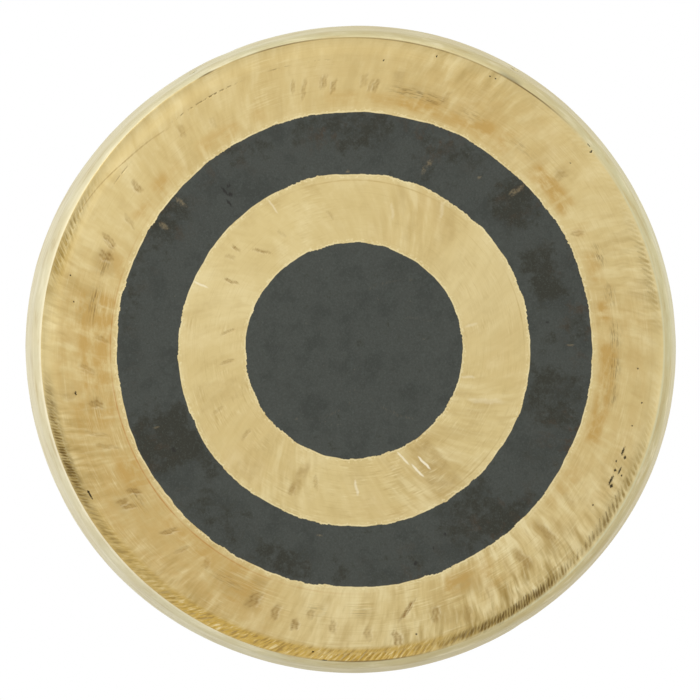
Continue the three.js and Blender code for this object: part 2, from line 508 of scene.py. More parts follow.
def turn_dish(sizes, hammering, materials):
    """Turns every band of the dish and bridges each one to the next, as one closed mesh."""
    dish = Dish(sizes, hammering)
    front_bands = face_radii(sizes, dish, FRONT_SPACINGS)
    back_bands = face_radii(sizes, dish, BACK_SPACINGS)
    face, rim, back = materials
    front_sectors = (DISC_SECTORS, INNER_BAND_SECTORS, DARK_RING_SECTORS, OUTER_BAND_SECTORS, STROKE_SECTORS)
    back_sectors = (DISC_SECTORS, BACK_SECTORS, BACK_SECTORS, BACK_SECTORS, BACK_SECTORS)

    parts = []
    for radii, sectors in zip(front_bands, front_sectors):
        profile = [dish.front(radius) for radius in radii]
        parts.append((profile, sectors, face, 1.0))
    outside = dish.shoulder(sizes.shoulder_radius, OUTER_BEND_STEPS)
    outside[0] = (outside[0][0] + SEAM, dish.front(dish.crease)[1] + SEAM * math.tan(sizes.shoulder_turn))
    outside += dish.rim(outside[-1], OUTER_RIM_STEPS)
    outer_corner, inner_corner = dish.edge_corners()
    parts.append((outside + [outer_corner], RIM_SECTORS, rim, 1.0))
    inside = dish.shoulder(sizes.shoulder_radius - sizes.sheet_crease, INNER_BEND_STEPS)
    inside += dish.rim(inside[-1], INNER_RIM_STEPS)
    parts.append(([inner_corner] + inside[::-1], BACK_SECTORS, back, 0.0))
    for radii, sectors in zip(back_bands[::-1], back_sectors[::-1]):
        ends = [radius for radius in radii if radius < dish.crease - BACK_END]
        parts.append(([dish.back(radius) for radius in ends[::-1]], sectors, back, 0.0))

    objects = [turned(f"band_{i}", *part) for i, part in enumerate(parts)]
    only(*objects)
    bpy.ops.object.join()
    gong = bpy.context.object
    gong.name = "gong_bronze"
    gong.data.name = "gong_bronze"
    bpy.ops.object.mode_set(mode="EDIT")
    bpy.ops.mesh.select_mode(type="EDGE")
    bpy.ops.mesh.select_all(action="SELECT")
    bpy.ops.mesh.remove_doubles(threshold=MERGE_DISTANCE)
    for (before, *_), (after, *_) in zip(parts, parts[1:]):
        bridge(gong, before[-1], after[0])
    bpy.ops.mesh.select_all(action="SELECT")
    bpy.ops.mesh.normals_make_consistent(inside=False)
    bpy.ops.object.mode_set(mode="OBJECT")
    return gong


# Hammer work. A stretch of the gong is given by its direction in degrees, how far it reaches to each side and
# its strength.
STROKE_STRETCHES = (
    (16, 16, 0.8),
    (38, 20, 0.25),
    (75, 25, 0.12),
    (157, 15, 0.75),
    (200, 17, 0.95),
    (238, 22, 0.25),
    (272, 20, 0.6),
    (304, 22, 1.0),
    (328, 18, 0.85),
    (346, 16, 0.45),
)
# Where the strokes are set closer: from and to in degrees, and how many more there are in that stretch
CLOSER_STROKES = ((183, 213, 18), (289, 318, 17))
# Lean of the strokes and of the streaks on the inner and the outer band: turn for each millimetre of radius
STROKE_SLANT = 0.0029
INNER_LEAN = 0.0028
OUTER_LEAN = -0.0008
# Radii in millimetres at which the grain of the inner and the outer band has its stated size
INNER_MIDDLE = 165.0
OUTER_MIDDLE = 315.0
# Waves of the free edge: how many in one turn, their share of the height, and a crest's direction in degrees
EDGE_WAVES = ((2, 1.0, 22), (3, 0.6, 56), (4, 0.45, 70), (5, 0.25, 0), (6, 0.2, 43), (7, 0.15, 19))
# Sinks the waves so far that no crest stands outside the CAD box
EDGE_WAVES_TOP = 1.1
EDGE_SINK = 0.3 * MM
# Two small nicks in the edge: where each one starts, where its bottom starts and ends, and where it ends
EDGE_NICKS = ((111.3, 111.9, 112.4, 116.0), (299.0, 302.2, 302.4, 303.2))
# Their depth as a share of the waviness
EDGE_NICK_DEPTH = 0.35
# Where the crease is soft and the strokes end short of it: the middle of that stretch, how far to each side
# it reaches, and how far to each side it is at its softest, in degrees
SOFT_CREASE = (348, 72, 32)


# Separate dents: direction in degrees, radius, half length, half width, lean and strength. The lean is how
# far the outer end is turned on, in degrees for each millimetre of radius.
OUTER_DENTS = (
    (69.8, 311, 8, 3.0, -0.05, 0.35),
    (85.2, 306, 8, 3.4, -0.07, 0.7),
    (86.4, 305, 8, 2.4, -0.07, 0.5),
    (87.8, 311, 8, 4.0, -0.05, 0.4),
    (94.4, 305, 8, 3.2, -0.06, 0.7),
    (96.2, 312, 8, 3.0, -0.05, 0.6),
    (97.0, 310, 7, 2.4, -0.05, 0.4),
    (100.9, 306, 12, 2.6, -0.06, 0.55),
    (103.0, 312, 8, 2.6, -0.06, 0.5),
    (121.8, 308, 7, 3.2, 0.0, 0.3),
    (128.2, 321, 8, 4.0, -0.03, 0.4),
    (143.1, 313, 9, 4.0, -0.03, 0.75),
    (150.2, 298, 9, 3.0, -0.08, 0.45),
    (155.8, 309, 10, 3.2, -0.06, 0.8),
    (156.8, 307, 9, 2.4, -0.06, 0.5),
    (159.3, 305, 9, 5.0, -0.03, 0.85),
    (177.6, 291, 8, 3.0, -0.08, 0.5),
    (183.9, 309, 10, 2.6, -0.09, 0.5),
    (184.9, 307, 9, 2.0, -0.08, 0.35),
    (189.3, 332, 8, 4.2, 0.02, 0.35),
    (191.9, 304, 8, 4.2, -0.07, 0.75),
    (198.2, 312, 14, 2.6, -0.09, 0.45),
    (201.4, 306, 12, 3.0, -0.09, 0.45),
    (212.7, 302, 7, 3.6, -0.1, 0.9),
    (213.3, 319, 7, 3.6, -0.03, 0.85),
    (214.8, 317, 8, 3.2, -0.1, 0.8),
    (224.5, 299, 10, 3.2, -0.11, 0.85),
    (229.2, 305, 9, 2.8, -0.1, 0.5),
    (235.3, 300, 6, 3.8, 0.06, 0.45),
    (248.2, 311, 10, 6.0, -0.06, 0.75),
    (253.3, 316, 10, 4.6, -0.01, 0.75),
    (257.8, 325, 7, 4.6, 0.0, 0.95),
    (260.8, 310, 6, 4.2, -0.03, 0.5),
    (265.6, 321, 8, 4.0, 0.02, 0.65),
    (272.8, 329, 10, 4.4, 0.0, 0.5),
    (278.5, 338, 9, 5.2, 0.03, 0.85),
    (281.3, 308, 10, 2.4, -0.17, 1.0),
    (282.2, 306, 10, 2.2, -0.17, 0.9),
    (287.1, 320, 10, 4.6, -0.03, 0.75),
    (293.5, 333, 10, 3.6, -0.04, 0.35),
    (308.8, 311, 14, 5.0, 0.02, 0.55),
    (316.4, 309, 13, 4.4, 0.0, 0.5),
    (325.0, 303, 10, 3.2, -0.05, 0.3),
    (27.4, 292, 7, 3.4, -0.09, 0.6),
    (40.0, 312, 8, 5.0, -0.03, 0.4),
)
INNER_DENTS = (
    (100.0, 158, 6, 2.0, 0.22, 0.4),
    (122.0, 158, 6, 2.0, 0.15, 0.35),
    (133.2, 156, 9, 1.9, 0.26, 1.0),
    (139.4, 180, 6, 1.8, 0.02, 0.9),
    (143.1, 178, 6, 2.6, 0.1, 0.45),
    (150.9, 162, 9, 1.9, 0.08, 0.9),
    (172.0, 148, 7, 1.9, 0.2, 0.75),
    (185.4, 147, 8, 2.2, 0.06, 0.6),
    (218.0, 158, 8, 2.2, 0.1, 0.6),
    (246.0, 176, 8, 3.0, 0.05, 0.5),
    (254.0, 160, 9, 2.6, 0.1, 0.45),
    (204.0, 172, 7, 2.2, 0.05, 0.4),
)
# Painted highlights of folds beside dents of the inner band, laid out in the same way
BRIGHT_FOLDS = (
    (297.7, 158, 10, 1.3, 0.1, 0.85),
    (301.8, 154, 10, 1.4, 0.09, 0.95),
    (294.2, 137, 10, 1.2, 0.14, 0.7),
    (271.0, 160, 9, 1.6, 0.08, 0.5),
    (338.6, 163, 20, 3.2, 0.12, 0.22),
    (346.6, 136, 8, 1.6, 0.1, 0.3),
    (157.0, 193, 10, 1.2, 0.0, 0.6),
    (119.5, 190, 10, 1.1, 0.03, 0.35),
    (11.8, 138, 8, 1.6, 0.05, 0.22),
    (58.0, 192, 9, 2.4, 0.14, 0.2),
    (74.4, 165, 9, 1.8, 0.14, 0.2),
)
# Black flaws: direction in degrees, radius, half length along the ring and half width along the ray
FLAWS = (
    (333.1, 334.4, 5.2, 1.2),
    (339.3, 333.6, 4.2, 1.1),
    (332.1, 337.8, 2.2, 1.5),
    (335.5, 338.6, 4.2, 0.9),
    (335.2, 333.6, 1.4, 1.2),
    (338.3, 338.4, 1.8, 1.2),
    (337.0, 330.5, 1.2, 0.8),
    (334.8, 343.0, 1.2, 0.8),
    (327.0, 330.5, 0.9, 0.9),
    (344.7, 334.5, 0.8, 0.8),
    (349.5, 339.5, 0.9, 0.8),
    (356.2, 330.0, 0.9, 0.8),
    (165.3, 338.0, 0.9, 0.9),
    (170.3, 328.0, 0.8, 0.8),
    (188.9, 325.0, 2.2, 0.9),
    (208.9, 347.5, 4.8, 0.8),
    (208.2, 347.5, 1.8, 1.1),
    (39.8, 358.0, 1.0, 1.7),
    (41.0, 361.0, 2.2, 0.6),
    (40.7, 331.0, 0.9, 0.6),
    (62.4, 354.0, 0.9, 0.6),
    (63.5, 353.5, 0.9, 0.6),
    (74.2, 352.5, 0.7, 1.3),
    (84.1, 336.0, 1.0, 0.9),
    (262.3, 352.5, 1.4, 0.8),
    (264.6, 361.0, 2.6, 0.8),
    (282.4, 337.0, 1.0, 1.0),
    (267.4, 371.0, 0.8, 0.8),
)
PITS = (
    (286.0, 257.0, 2.0, 2.0),
    (322.0, 215.0, 1.0, 1.0),
    (296.2, 238.0, 1.4, 1.2),
    (291.8, 247.0, 1.2, 1.0),
    (129.2, 236.0, 1.2, 5.0),
    (128.6, 229.0, 2.2, 2.4),
    (130.4, 222.0, 1.2, 4.5),
    (127.4, 238.0, 2.6, 1.0),
    (209.0, 238.0, 3.0, 1.2),
    (8.0, 226.0, 1.0, 1.2),
    (330.0, 36.0, 1.2, 1.2),
)
# Rubbed spots on the dark skin, laid out as the pits are
SCUFFS = (
    (1.2, 250.0, 0.8, 4.0),
    (44.2, 264.0, 1.8, 8.0),
    (45.0, 258.0, 1.2, 4.0),
    (54.0, 246.0, 1.6, 1.6),
    (68.0, 233.0, 2.6, 3.0),
    (68.7, 223.0, 2.0, 5.0),
    (139.6, 263.0, 2.2, 6.0),
    (147.0, 262.0, 2.6, 5.0),
    (201.4, 246.0, 1.2, 2.6),
    (259.5, 218.0, 2.4, 1.2),
    (92.0, 206.0, 2.0, 1.2),
)
# Stretches of each kind of tint: direction, reach to each side, strength
TAN = (
    (176, 26, 0.45),
    (210, 36, 0.55),
    (242, 20, 0.45),
    (300, 18, 0.25),
    (336, 30, 0.3),
    (4, 16, 0.35),
    (62, 30, 0.3),
)
HATCHED = (
    (3, 5, 1.0),
    (12, 4, 0.8),
    (21, 4, 0.8),
    (50, 6, 0.4),
    (64, 6, 0.5),
    (73, 6, 1.0),
    (79, 5, 0.9),
    (161, 5, 0.7),
    (170, 6, 1.0),
    (192, 5, 0.5),
    (214, 5, 0.7),
    (241, 6, 0.5),
    (262, 4, 0.5),
    (272, 4, 0.6),
    (350, 4, 0.9),
    (356, 4, 1.0),
)
FINE_LINES = (
    (8, 14, 0.5),
    (35, 35, 0.3),
    (110, 16, 0.5),
    (170, 15, 0.6),
    (205, 34, 1.0),
    (250, 26, 0.7),
    (280, 26, 1.0),
    (308, 30, 0.9),
    (340, 30, 0.4),
)
# The olive, brown and fan stretches below are painted shade round the close strokes, where their slopes face
# darker surroundings; the brown is partly patina in the strokes
OLIVE_SHADE = ((158, 16, 0.9), (200, 18, 1.0), (300, 22, 0.7), (332, 18, 0.8), (228, 14, 0.5), (15, 17, 0.35))
GOLDEN = ((238, 24, 0.8), (262, 34, 1.0), (282, 20, 0.6), (163, 9, 0.55), (218, 14, 0.4))
BROWN = ((303, 18, 1.0), (290, 10, 0.4), (192, 10, 0.6), (204, 10, 0.9), (216, 10, 0.4), (324, 10, 0.45))
STROKE_BROWN = ((16, 16, 0.2), (200, 20, 0.65), (275, 26, 0.8), (304, 24, 1.0), (328, 18, 0.45))
FANS = (
    (15, 18, 0.4),
    (66, 16, 0.25),
    (172, 16, 0.25),
    (200, 18, 0.5),
    (232, 20, 0.4),
    (286, 16, 0.5),
    (306, 22, 1.0),
    (332, 14, 0.5),
)
# How much the streaks along the rays show on the outer band and on the inner one; as colour they are painted
# light and shade of the ripples
BUSY_OUTSIDE = (
    (125, 30, 0.2),
    (306, 34, 0.9),
    (268, 26, 0.45),
    (238, 20, 0.4),
    (200, 20, 0.25),
    (168, 18, 0.3),
    (62, 24, 0.2),
    (15, 20, 0.2),
)
BUSY_INSIDE = ((66, 22, 0.28), (300, 30, 0.55), (334, 20, 0.35), (240, 22, 0.35), (160, 20, 0.15))
# Where the metal is duller than elsewhere, or brighter where the strength is below 0
DULL_OUTSIDE = (
    (120, 50, 0.2),
    (66, 30, 0.15),
    (215, 40, 0.3),
    (240, 20, 0.15),
    (268, 18, -0.3),
    (322, 30, -0.15),
)
DULL_INSIDE = ((25, 40, -0.25), (160, 30, -0.2), (303, 16, 0.5), (100, 20, 0.1))
# Where it is yellower
YELLOW_OUTSIDE = ((225, 45, 0.5), (75, 50, 0.35), (255, 30, 0.3))
YELLOW_INSIDE = ((0, 40, 0.35), (62, 30, 0.6), (222, 40, 0.5), (290, 38, 0.5), (180, 30, 0.2))
# Where the step line beside the dark ring shows (on the inner band it is painted shadow of the step), the
# painted highlight on the crease's lip, the painted shade in the crease, and the rust
STEP_OUTSIDE = ((208, 80, 1.0),)
STEP_INSIDE = ((13, 20, 0.8), (85, 45, 0.8), (317, 22, 0.7))
BRIGHT_LIP = ((205, 60, 1.0),)
CREASE_SHADE = ((55, 12, 0.9), (80, 32, 0.75), (105, 14, 0.8), (118, 3, 1.0), (272, 16, 0.8), (164, 16, 0.35))
RUSTY = (
    (3, 9, 0.6),
    (15, 14, 0.9),
    (43, 9, 0.9),
    (70, 11, 1.0),
    (97, 10, 1.0),
    (125, 10, 0.5),
    (146, 10, 0.9),
    (205, 10, 0.6),
    (286, 8, 0.6),
    (307, 10, 1.0),
    (316, 6, 0.7),
    (340, 14, 0.9),
)
# Patches of a tint, from one direction to another and from one radius to another, with their strength
ORANGE_PATCHES = (
    (-2.0, 1.8, 287, 303, 0.5),
    (6.8, 11.0, 286, 300, 0.9),
    (15.4, 22.6, 287, 302, 0.75),
    (26.4, 28.6, 290, 304, 0.6),
    (32.8, 45.2, 285, 306, 0.95),
    (52.6, 55.6, 284, 312, 0.6),
    (57.4, 61.8, 284, 306, 0.95),
    (62.5, 70.0, 284, 298, 0.55),
    (70.8, 80.0, 284, 305, 1.0),
    (80.6, 87.2, 284, 298, 0.6),
    (89.0, 96.5, 283, 300, 0.45),
    (110.6, 113.4, 285, 300, 0.35),
    (117.5, 128.0, 282, 300, 0.5),
    (132.8, 136.0, 284, 300, 0.3),
    (137.0, 141.6, 282, 302, 0.75),
    (143.8, 149.2, 284, 300, 0.6),
    (158.0, 163.0, 280, 312, 0.5),
    (167.8, 174.6, 280, 322, 0.9),
    (175.4, 189.0, 280, 318, 0.45),
    (190.6, 197.0, 285, 330, 0.45),
    (205.4, 212.4, 284, 304, 0.6),
    (222.0, 236.0, 284, 300, 0.4),
    (240.0, 249.8, 284, 322, 0.5),
    (290.4, 297.6, 284, 306, 0.75),
    (300.0, 302.6, 284, 318, 0.7),
    (322.0, 332.0, 284, 300, 0.3),
    (338.8, 360.4, 286, 303, 0.7),
    (344.0, 357.0, 290, 300, 0.4),
)
SKIN_PATCHES = (
    (2.0, 9.0, 250, 276, 0.7),
    (0.0, 5.0, 222, 246, 0.4),
    (13.0, 29.0, 218, 256, 1.0),
    (36.0, 48.0, 222, 276, 0.9),
    (54.0, 60.0, 250, 276, 0.5),
    (60.0, 66.5, 240, 264, 0.6),
    (66.0, 69.0, 205, 235, 0.9),
    (69.0, 73.0, 225, 262, 0.8),
    (80.0, 95.0, 232, 276, 0.8),
    (95.0, 107.0, 246, 276, 0.6),
    (112.0, 124.0, 250, 276, 0.5),
    (138.0, 151.0, 244, 278, 0.8),
    (154.0, 180.0, 256, 276, 0.45),
    (197.0, 214.0, 208, 274, 1.0),
    (207.0, 222.0, 204, 222, 0.8),
    (222.0, 240.0, 222, 270, 0.5),
    (243.5, 260.0, 240, 274, 0.8),
    (264.0, 268.5, 246, 274, 0.5),
    (272.0, 280.0, 250, 274, 0.4),
    (284.0, 290.0, 246, 268, 0.5),
    (296.0, 316.0, 205, 274, 0.7),
    (308.0, 322.0, 258, 276, 0.8),
    (327.0, 331.0, 222, 268, 0.5),
    (338.0, 354.0, 206, 276, 0.7),
)
SMUDGES = (
    (39.4, 41.8, 310, 324, 0.5),
    (70.8, 80.2, 303, 318, 0.4),
    (79.4, 81.8, 308, 328, 0.7),
    (157.8, 163.4, 290, 318, 0.6),
    (166.0, 174.5, 300, 322, 0.4),
    (187.0, 189.8, 318, 350, 0.35),
    (190.6, 193.4, 296, 318, 0.5),
    (211.6, 216.0, 296, 330, 0.4),
    (238.0, 245.5, 290, 318, 0.4),
    (246.4, 249.8, 285, 326, 0.9),
    (271.0, 273.4, 296, 312, 0.35),
    (293.0, 297.8, 284, 312, 0.5),
    (307.8, 309.8, 296, 326, 0.7),
    (315.4, 317.4, 286, 330, 0.8),
    (47.4, 54.2, 128, 196, 0.3),
    (63.0, 66.8, 140, 180, 0.3),
    (193.0, 202.4, 128, 190, 0.35),
    (224.0, 232.0, 130, 200, 0.35),
    (245.0, 249.2, 143, 181, 0.9),
    (299.0, 309.6, 132, 200, 0.8),
    (335.4, 339.8, 130, 160, 0.3),
)

# A broken line of dots round the outer band: its radius, half its width, and where it shows
DOTTED_LINE_RADIUS = 336.0
DOTTED_LINE_HALF_WIDTH = 0.8
DOTTED_LINE = ((119, 8, 1.0), (126, 4, 0.7), (97, 3, 0.7), (105, 3, 0.6), (143, 4, 0.6))

# Scratches: from a direction and radius to another direction and radius
LONG_SCRATCH = ((131.2, 334.0), (152.8, 354.0))
SKIN_SCRATCHES = (
    ((48, 107), (77, 70)),
    ((223, 112), (271, 55)),
    ((288, 57), (312, 107)),
    ((20, 96), (36, 60)),
)

# How far the middle of the scraped rings lies to the right of the gong's axis, in millimetres
RING_OFFSET = 1.3

# What is painted on the mesh before the hammer work, with up to three values to each
STROKE_GUIDE = "stroke_guide"
# Orange stains, golden near the crease, and olive painted shade round the strokes
STAINS_AND_SHADE = "stains"
DARKENING = "darkening"
MARKS = "marks"
SKIN_MARKS = "skin_marks"
CREASE_MARKS = "crease_marks"
TONES = "tones"
CASTS = "casts"
LINES = "lines"
DENT_GUIDE = "dent_guide"


def smooth(values, start, end, low=0.0, high=1.0):
    share = np.clip((values - start) / (end - start), 0, 1)
    return low + (high - low) * share * share * (3 - 2 * share)


def window(values, start, end, soft):
    """1 between start and end, and 0 outside them."""
    return smooth(values, start - soft, start + soft) * smooth(values, end - soft, end + soft, 1, 0)


def read(items, name, width=1, kind=np.float64):
    """Reads one value of every vertex, corner or face into an array."""
    values = np.empty(len(items) * width, kind)
    items.foreach_get(name, values)
    return values


def corners_of_faces(mesh):
    """The vertex and the face of each corner, and how many corners each face has."""
    count = read(mesh.polygons, "loop_total", kind=np.int32)
    vertex = read(mesh.loops, "vertex_index", kind=np.int32)
    return vertex, np.repeat(np.arange(len(count)), count), count


class Face:
    """Where each vertex lies on the gong: its radius in millimetres and its direction in degrees."""

    def __init__(self, mesh):
        place = read(mesh.vertices, "co", 3).reshape(-1, 3) / MM
        self.mesh = mesh
        self.radius = np.hypot(place[:, 0], place[:, 2])
        self.degrees = np.degrees(np.arctan2(place[:, 2], place[:, 0])) % 360
        self.front = read(mesh.attributes[FRONT_SKIN].data, "value")

    def off(self, degrees):
        return (self.degrees - degrees + 180) % 360 - 180

    def stretches(self, table, least=0.0):
        """Adds up the strengths of the stretches that a direction lies in."""
        total = np.full(len(self.radius), least)
        for degrees, half_width, strength in table:
            total += strength * smooth(np.abs(self.off(degrees)), half_width, 0)
        return total

    def patches(self, table, soft_degrees, soft_radius):
        """Adds up the strengths of the patches that a place lies in."""
        total = np.zeros(len(self.radius))
        for start, end, low, high, strength in table:
            reach = (end - start) / 2
            across = window(self.off((start + end) / 2), -reach, reach, soft_degrees)
            total += strength * across * window(self.radius, low, high, soft_radius)
        return total

    def capsules(self, table):
        """Marks along the rays: how dark they are, how deep, and how bright the painted highlight on the lip
        beside them is.
        """
        dark, sunk, lit = np.zeros((3, len(self.radius)))
        for degrees, radius, half_length, half_width, lean, strength in table:
            outwards = self.radius - radius
            sideways = (self.off(degrees) - outwards * lean) * math.radians(radius)
            bent = np.sin(outwards * 0.42 + radius) * 0.2 + np.sin(outwards * 1.1 + degrees) * 0.12
            along = (outwards + np.sin(sideways * 0.9 + degrees) * 0.9) / half_length
            across = sideways / half_width + bent * min(1, half_width / 2)
            blotchy = 0.2 * np.sin(sideways * 1.1 + degrees) * np.sin(outwards * 0.6 + radius)
            body = smooth(across**2 + np.abs(along) ** 3 + blotchy, 1.6, 0.2)
            two_lines = smooth(np.abs(np.abs(across) - 0.55), 0.45, 0.05)
            lip = smooth(np.abs(across - 1.15), 0.4, 0)
            dark += strength * body * (0.65 + 0.35 * two_lines - blotchy)
            sunk += strength * body
            lit += strength * lip * smooth(along**2, 1.1, 0.2)
        return dark, sunk, lit

    def specks(self, table):
        """Small marks, darkest in the middle."""
        total = np.zeros(len(self.radius))
        for degrees, radius, half_length, half_width in table:
            sideways = self.off(degrees) * math.radians(radius)
            outwards = self.radius - radius
            ragged = 0.8 * np.sin(sideways * 1.9 + radius) * np.sin(outwards * 2.3 + degrees)
            total += smooth((sideways / half_length) ** 2 + (outwards / half_width) ** 2 + ragged, 2.1, 0.5)
        return np.minimum(total, 1)

    def scratch(self, start, end, width):
        """A slightly wavy line from one direction and radius to another."""
        share = (self.degrees - start[0]) / (end[0] - start[0])
        path = start[1] + (end[1] - start[1]) * share + np.sin(share * 9 + start[1]) * 0.5
        return smooth(np.abs(self.radius - path), width, width * 0.3) * window(share, 0, 1, 0.2)

    def store(self, name, *values):
        """Keeps one value on its own, and two or three as a vector."""
        if len(values) == 2:
            values += (np.zeros_like(self.front),)
        kind, field = ("FLOAT", "value") if len(values) == 1 else ("FLOAT_VECTOR", "vector")
        kept = self.mesh.attributes.new(name, kind, "POINT")
        data = np.stack(values, axis=1) * self.front[:, None]
        kept.data.foreach_set(field, data.astype(np.float32).ravel())


def small_marks(face, margin, widest):
    """How much each vertex lies in a flaw, a scratch, or a dent or fold that is narrow enough."""
    shapes = [
        (degrees, radius, half_length + margin, half_width + margin, lean, 1)
        for degrees, radius, half_length, half_width, lean, _ in (*BRIGHT_FOLDS, *OUTER_DENTS, *INNER_DENTS)
        if half_width < widest
    ]
    specks = [
        (degrees, radius, half_length + margin, half_width + margin)
        for degrees, radius, half_length, half_width in (*FLAWS, *PITS, *SCUFFS)
    ]
    scratches = sum(face.scratch(*path, 2 * margin) for path in (LONG_SCRATCH, *SKIN_SCRATCHES))
    return (face.capsules(shapes)[1] + face.specks(specks) + scratches) * face.front


def refine(gong):
    """Subdivides the faces of the struck side that carry small marks, twice where the marks are smallest."""
    for margin, widest, least in ((1.2, math.inf, 0.1), (0.6, 1.5, 0.4)):
        mesh = gong.data
        vertex, face_of_corner, _ = corners_of_faces(mesh)
        small = small_marks(Face(mesh), margin, widest) > least
        chosen = np.bincount(face_of_corner, small[vertex]) > 0
        only(gong)
        bpy.ops.object.mode_set(mode="EDIT")
        bpy.ops.mesh.select_mode(type="FACE")
        bpy.ops.mesh.select_all(action="DESELECT")
        bpy.ops.object.mode_set(mode="OBJECT")
        mesh.polygons.foreach_set("select", chosen)
        bpy.ops.object.mode_set(mode="EDIT")
        bpy.ops.mesh.subdivide(number_cuts=1, ngon=False)
        bpy.ops.object.mode_set(mode="OBJECT")


def paint_guides(gong, sizes):
    """Paints where the strokes, stains, dents and flaws lie, and where shade and highlights are painted."""
    face = Face(gong.data)
    radius = face.radius
    _, inner, ring, crease = ring_radii(sizes)
    more = sum(
        smooth(face.degrees, start, end, 0, FULL_TURN * count) for start, end, count in CLOSER_STROKES
    )
    middle, fades, holds = SOFT_CREASE
    soft = smooth(np.abs(face.off(middle)), fades, holds)
    strength = np.minimum(face.stretches(STROKE_STRETCHES, 0.06), 1)
    face.store(STROKE_GUIDE, strength, more, soft)

    on_outer = radius > (inner + ring) / 2
    tan = face.stretches(TAN, 0.08) * window(radius, ring + 2, crease - 14, 10)
    orange = tan + face.patches(ORANGE_PATCHES, 1.4, 6)
    golden = face.stretches(GOLDEN) * window(radius, crease - 14, crease + 1, 4)
    olive_shade = face.stretches(OLIVE_SHADE) * window(radius, crease - 12, crease - 1, 4)
    face.store(STAINS_AND_SHADE, np.minimum(orange, 1.1), golden, olive_shade)

    # Brown just inside the crease and in the strokes: patina and painted shade
    brown = face.stretches(BROWN)
    hatched = face.stretches(HATCHED) * window(radius, ring + 25, ring + 34, 5)
    face.store(DARKENING, brown, hatched, face.stretches(STROKE_BROWN, 0.3))

    fan = face.stretches(FANS) * smooth(radius, crease - 62, crease - 6)
    busy = np.where(on_outer, face.stretches(BUSY_OUTSIDE, 0.22), face.stretches(BUSY_INSIDE, 0.16))
    face.store(TONES, busy, fan, face.patches(SMUDGES, 0.9, 4))
    dull = np.where(on_outer, face.stretches(DULL_OUTSIDE), face.stretches(DULL_INSIDE))
    yellow = np.where(on_outer, face.stretches(YELLOW_OUTSIDE), face.stretches(YELLOW_INSIDE))
    face.store(CASTS, dull, yellow)

    step = np.where(on_outer, face.stretches(STEP_OUTSIDE), face.stretches(STEP_INSIDE))
    # The third value is where the painted highlight on the crease's lip shows
    face.store(LINES, face.stretches(FINE_LINES, 0.2), step, face.stretches(BRIGHT_LIP))

    dark, sunk, lit = np.zeros((3, len(radius)))
    for table in (OUTER_DENTS, INNER_DENTS):
        values = face.capsules(table)
        dark, sunk, lit = dark + values[0], sunk + values[1], lit + 0.2 * values[2]
    folds = face.capsules(BRIGHT_FOLDS)
    # The second value is painted highlight on the lips of the dents and on the folds
    face.store(MARKS, dark + 0.7 * face.scratch(*LONG_SCRATCH, 1.0), lit + folds[1], face.specks(FLAWS))
    face.store(DENT_GUIDE, sunk + 0.5 * folds[1])

    rust = face.stretches(RUSTY, 0.2) * smooth(radius, inner + 12, ring - 10)
    scratches = sum(face.scratch(*path, 1.2) for path in SKIN_SCRATCHES)
    rubbed = face.specks(SCUFFS) + 0.3 * scratches
    face.store(SKIN_MARKS, face.patches(SKIN_PATCHES, 3.5, 11), rust, face.specks(PITS) - rubbed)
    # The first value is where the crease's painted shade shows
    face.store(CREASE_MARKS, face.stretches(CREASE_SHADE), soft, face.stretches(DOTTED_LINE))


# The inputs of the hammer work, and the setting that each one takes
HAMMER_INPUTS = {
    "Stroke depth": "stroke_depth",
    "Dent depth": "dent_depth",
    "Ripple depth": "ripple_depth",
    "Unevenness": "unevenness",
    "Edge waviness": "edge_waviness",
    "Strokes": "strokes_around",
}


def close_strokes(w, place, crease, strokes_around):
    """How deep the close strokes are, from 0 to 1, in their ring just inside the crease."""
    radius, _, angle = place
    guide = w.add("GeometryNodeInputNamedAttribute", {"Name": STROKE_GUIDE}, data_type="FLOAT_VECTOR")
    strength, more, soft = w.separate(guide)
    jitter = w.noise(ring_place(w, radius, angle, crease, 18, 60), detail=3)
    lean = w.times(w.minus(radius, crease), STROKE_SLANT)
    phase = w.plus(w.times(w.plus(angle, lean), strokes_around), w.times(jitter, 2.6), more)
    wave = w.math("POWER", w.linear(w.cos(phase), 0.5, 0.5), 1.3)
    reach = w.noise(ring_place(w, 0.0, angle, crease, 4.5, 100), detail=2)
    start = w.plus(w.blend(soft, crease - 8.0, crease - 15.0), w.times(reach, 4.0))
    end = w.plus(w.blend(soft, crease - 0.8, crease - 4.5), w.times(reach, 0.8))
    uneven = w.linear(w.noise(ring_place(w, radius, angle, crease, 6, 12), detail=2), 0.7, 0.85)
    return w.times(wave, w.window(radius, start, end, 1.5), strength, uneven)


def broad_ripples(w, place, sizes):
    """Ripples of the bright bands that lie along the rays, within -1 and 1."""
    radius, _, angle = place
    disc, inner, ring, crease = ring_radii(sizes)
    outer_band = w.window(radius, ring + 4.75, crease - 12, 9.0)
    inner_band = w.window(radius, disc + 2.5, inner - 2.5, 6.0)
    outer_ripple = w.noise(ring_place(w, radius, angle, OUTER_MIDDLE, 22, 75, -OUTER_LEAN), detail=0)
    inner_ripple = w.noise(ring_place(w, radius, angle, INNER_MIDDLE, 24, 90, -INNER_LEAN), detail=0)
    busy = w.linear(w.facing(angle, 295, 60), 0.9, 0.55)
    return w.times(w.plus(w.times(outer_ripple, outer_band), w.times(inner_ripple, inner_band)), busy)


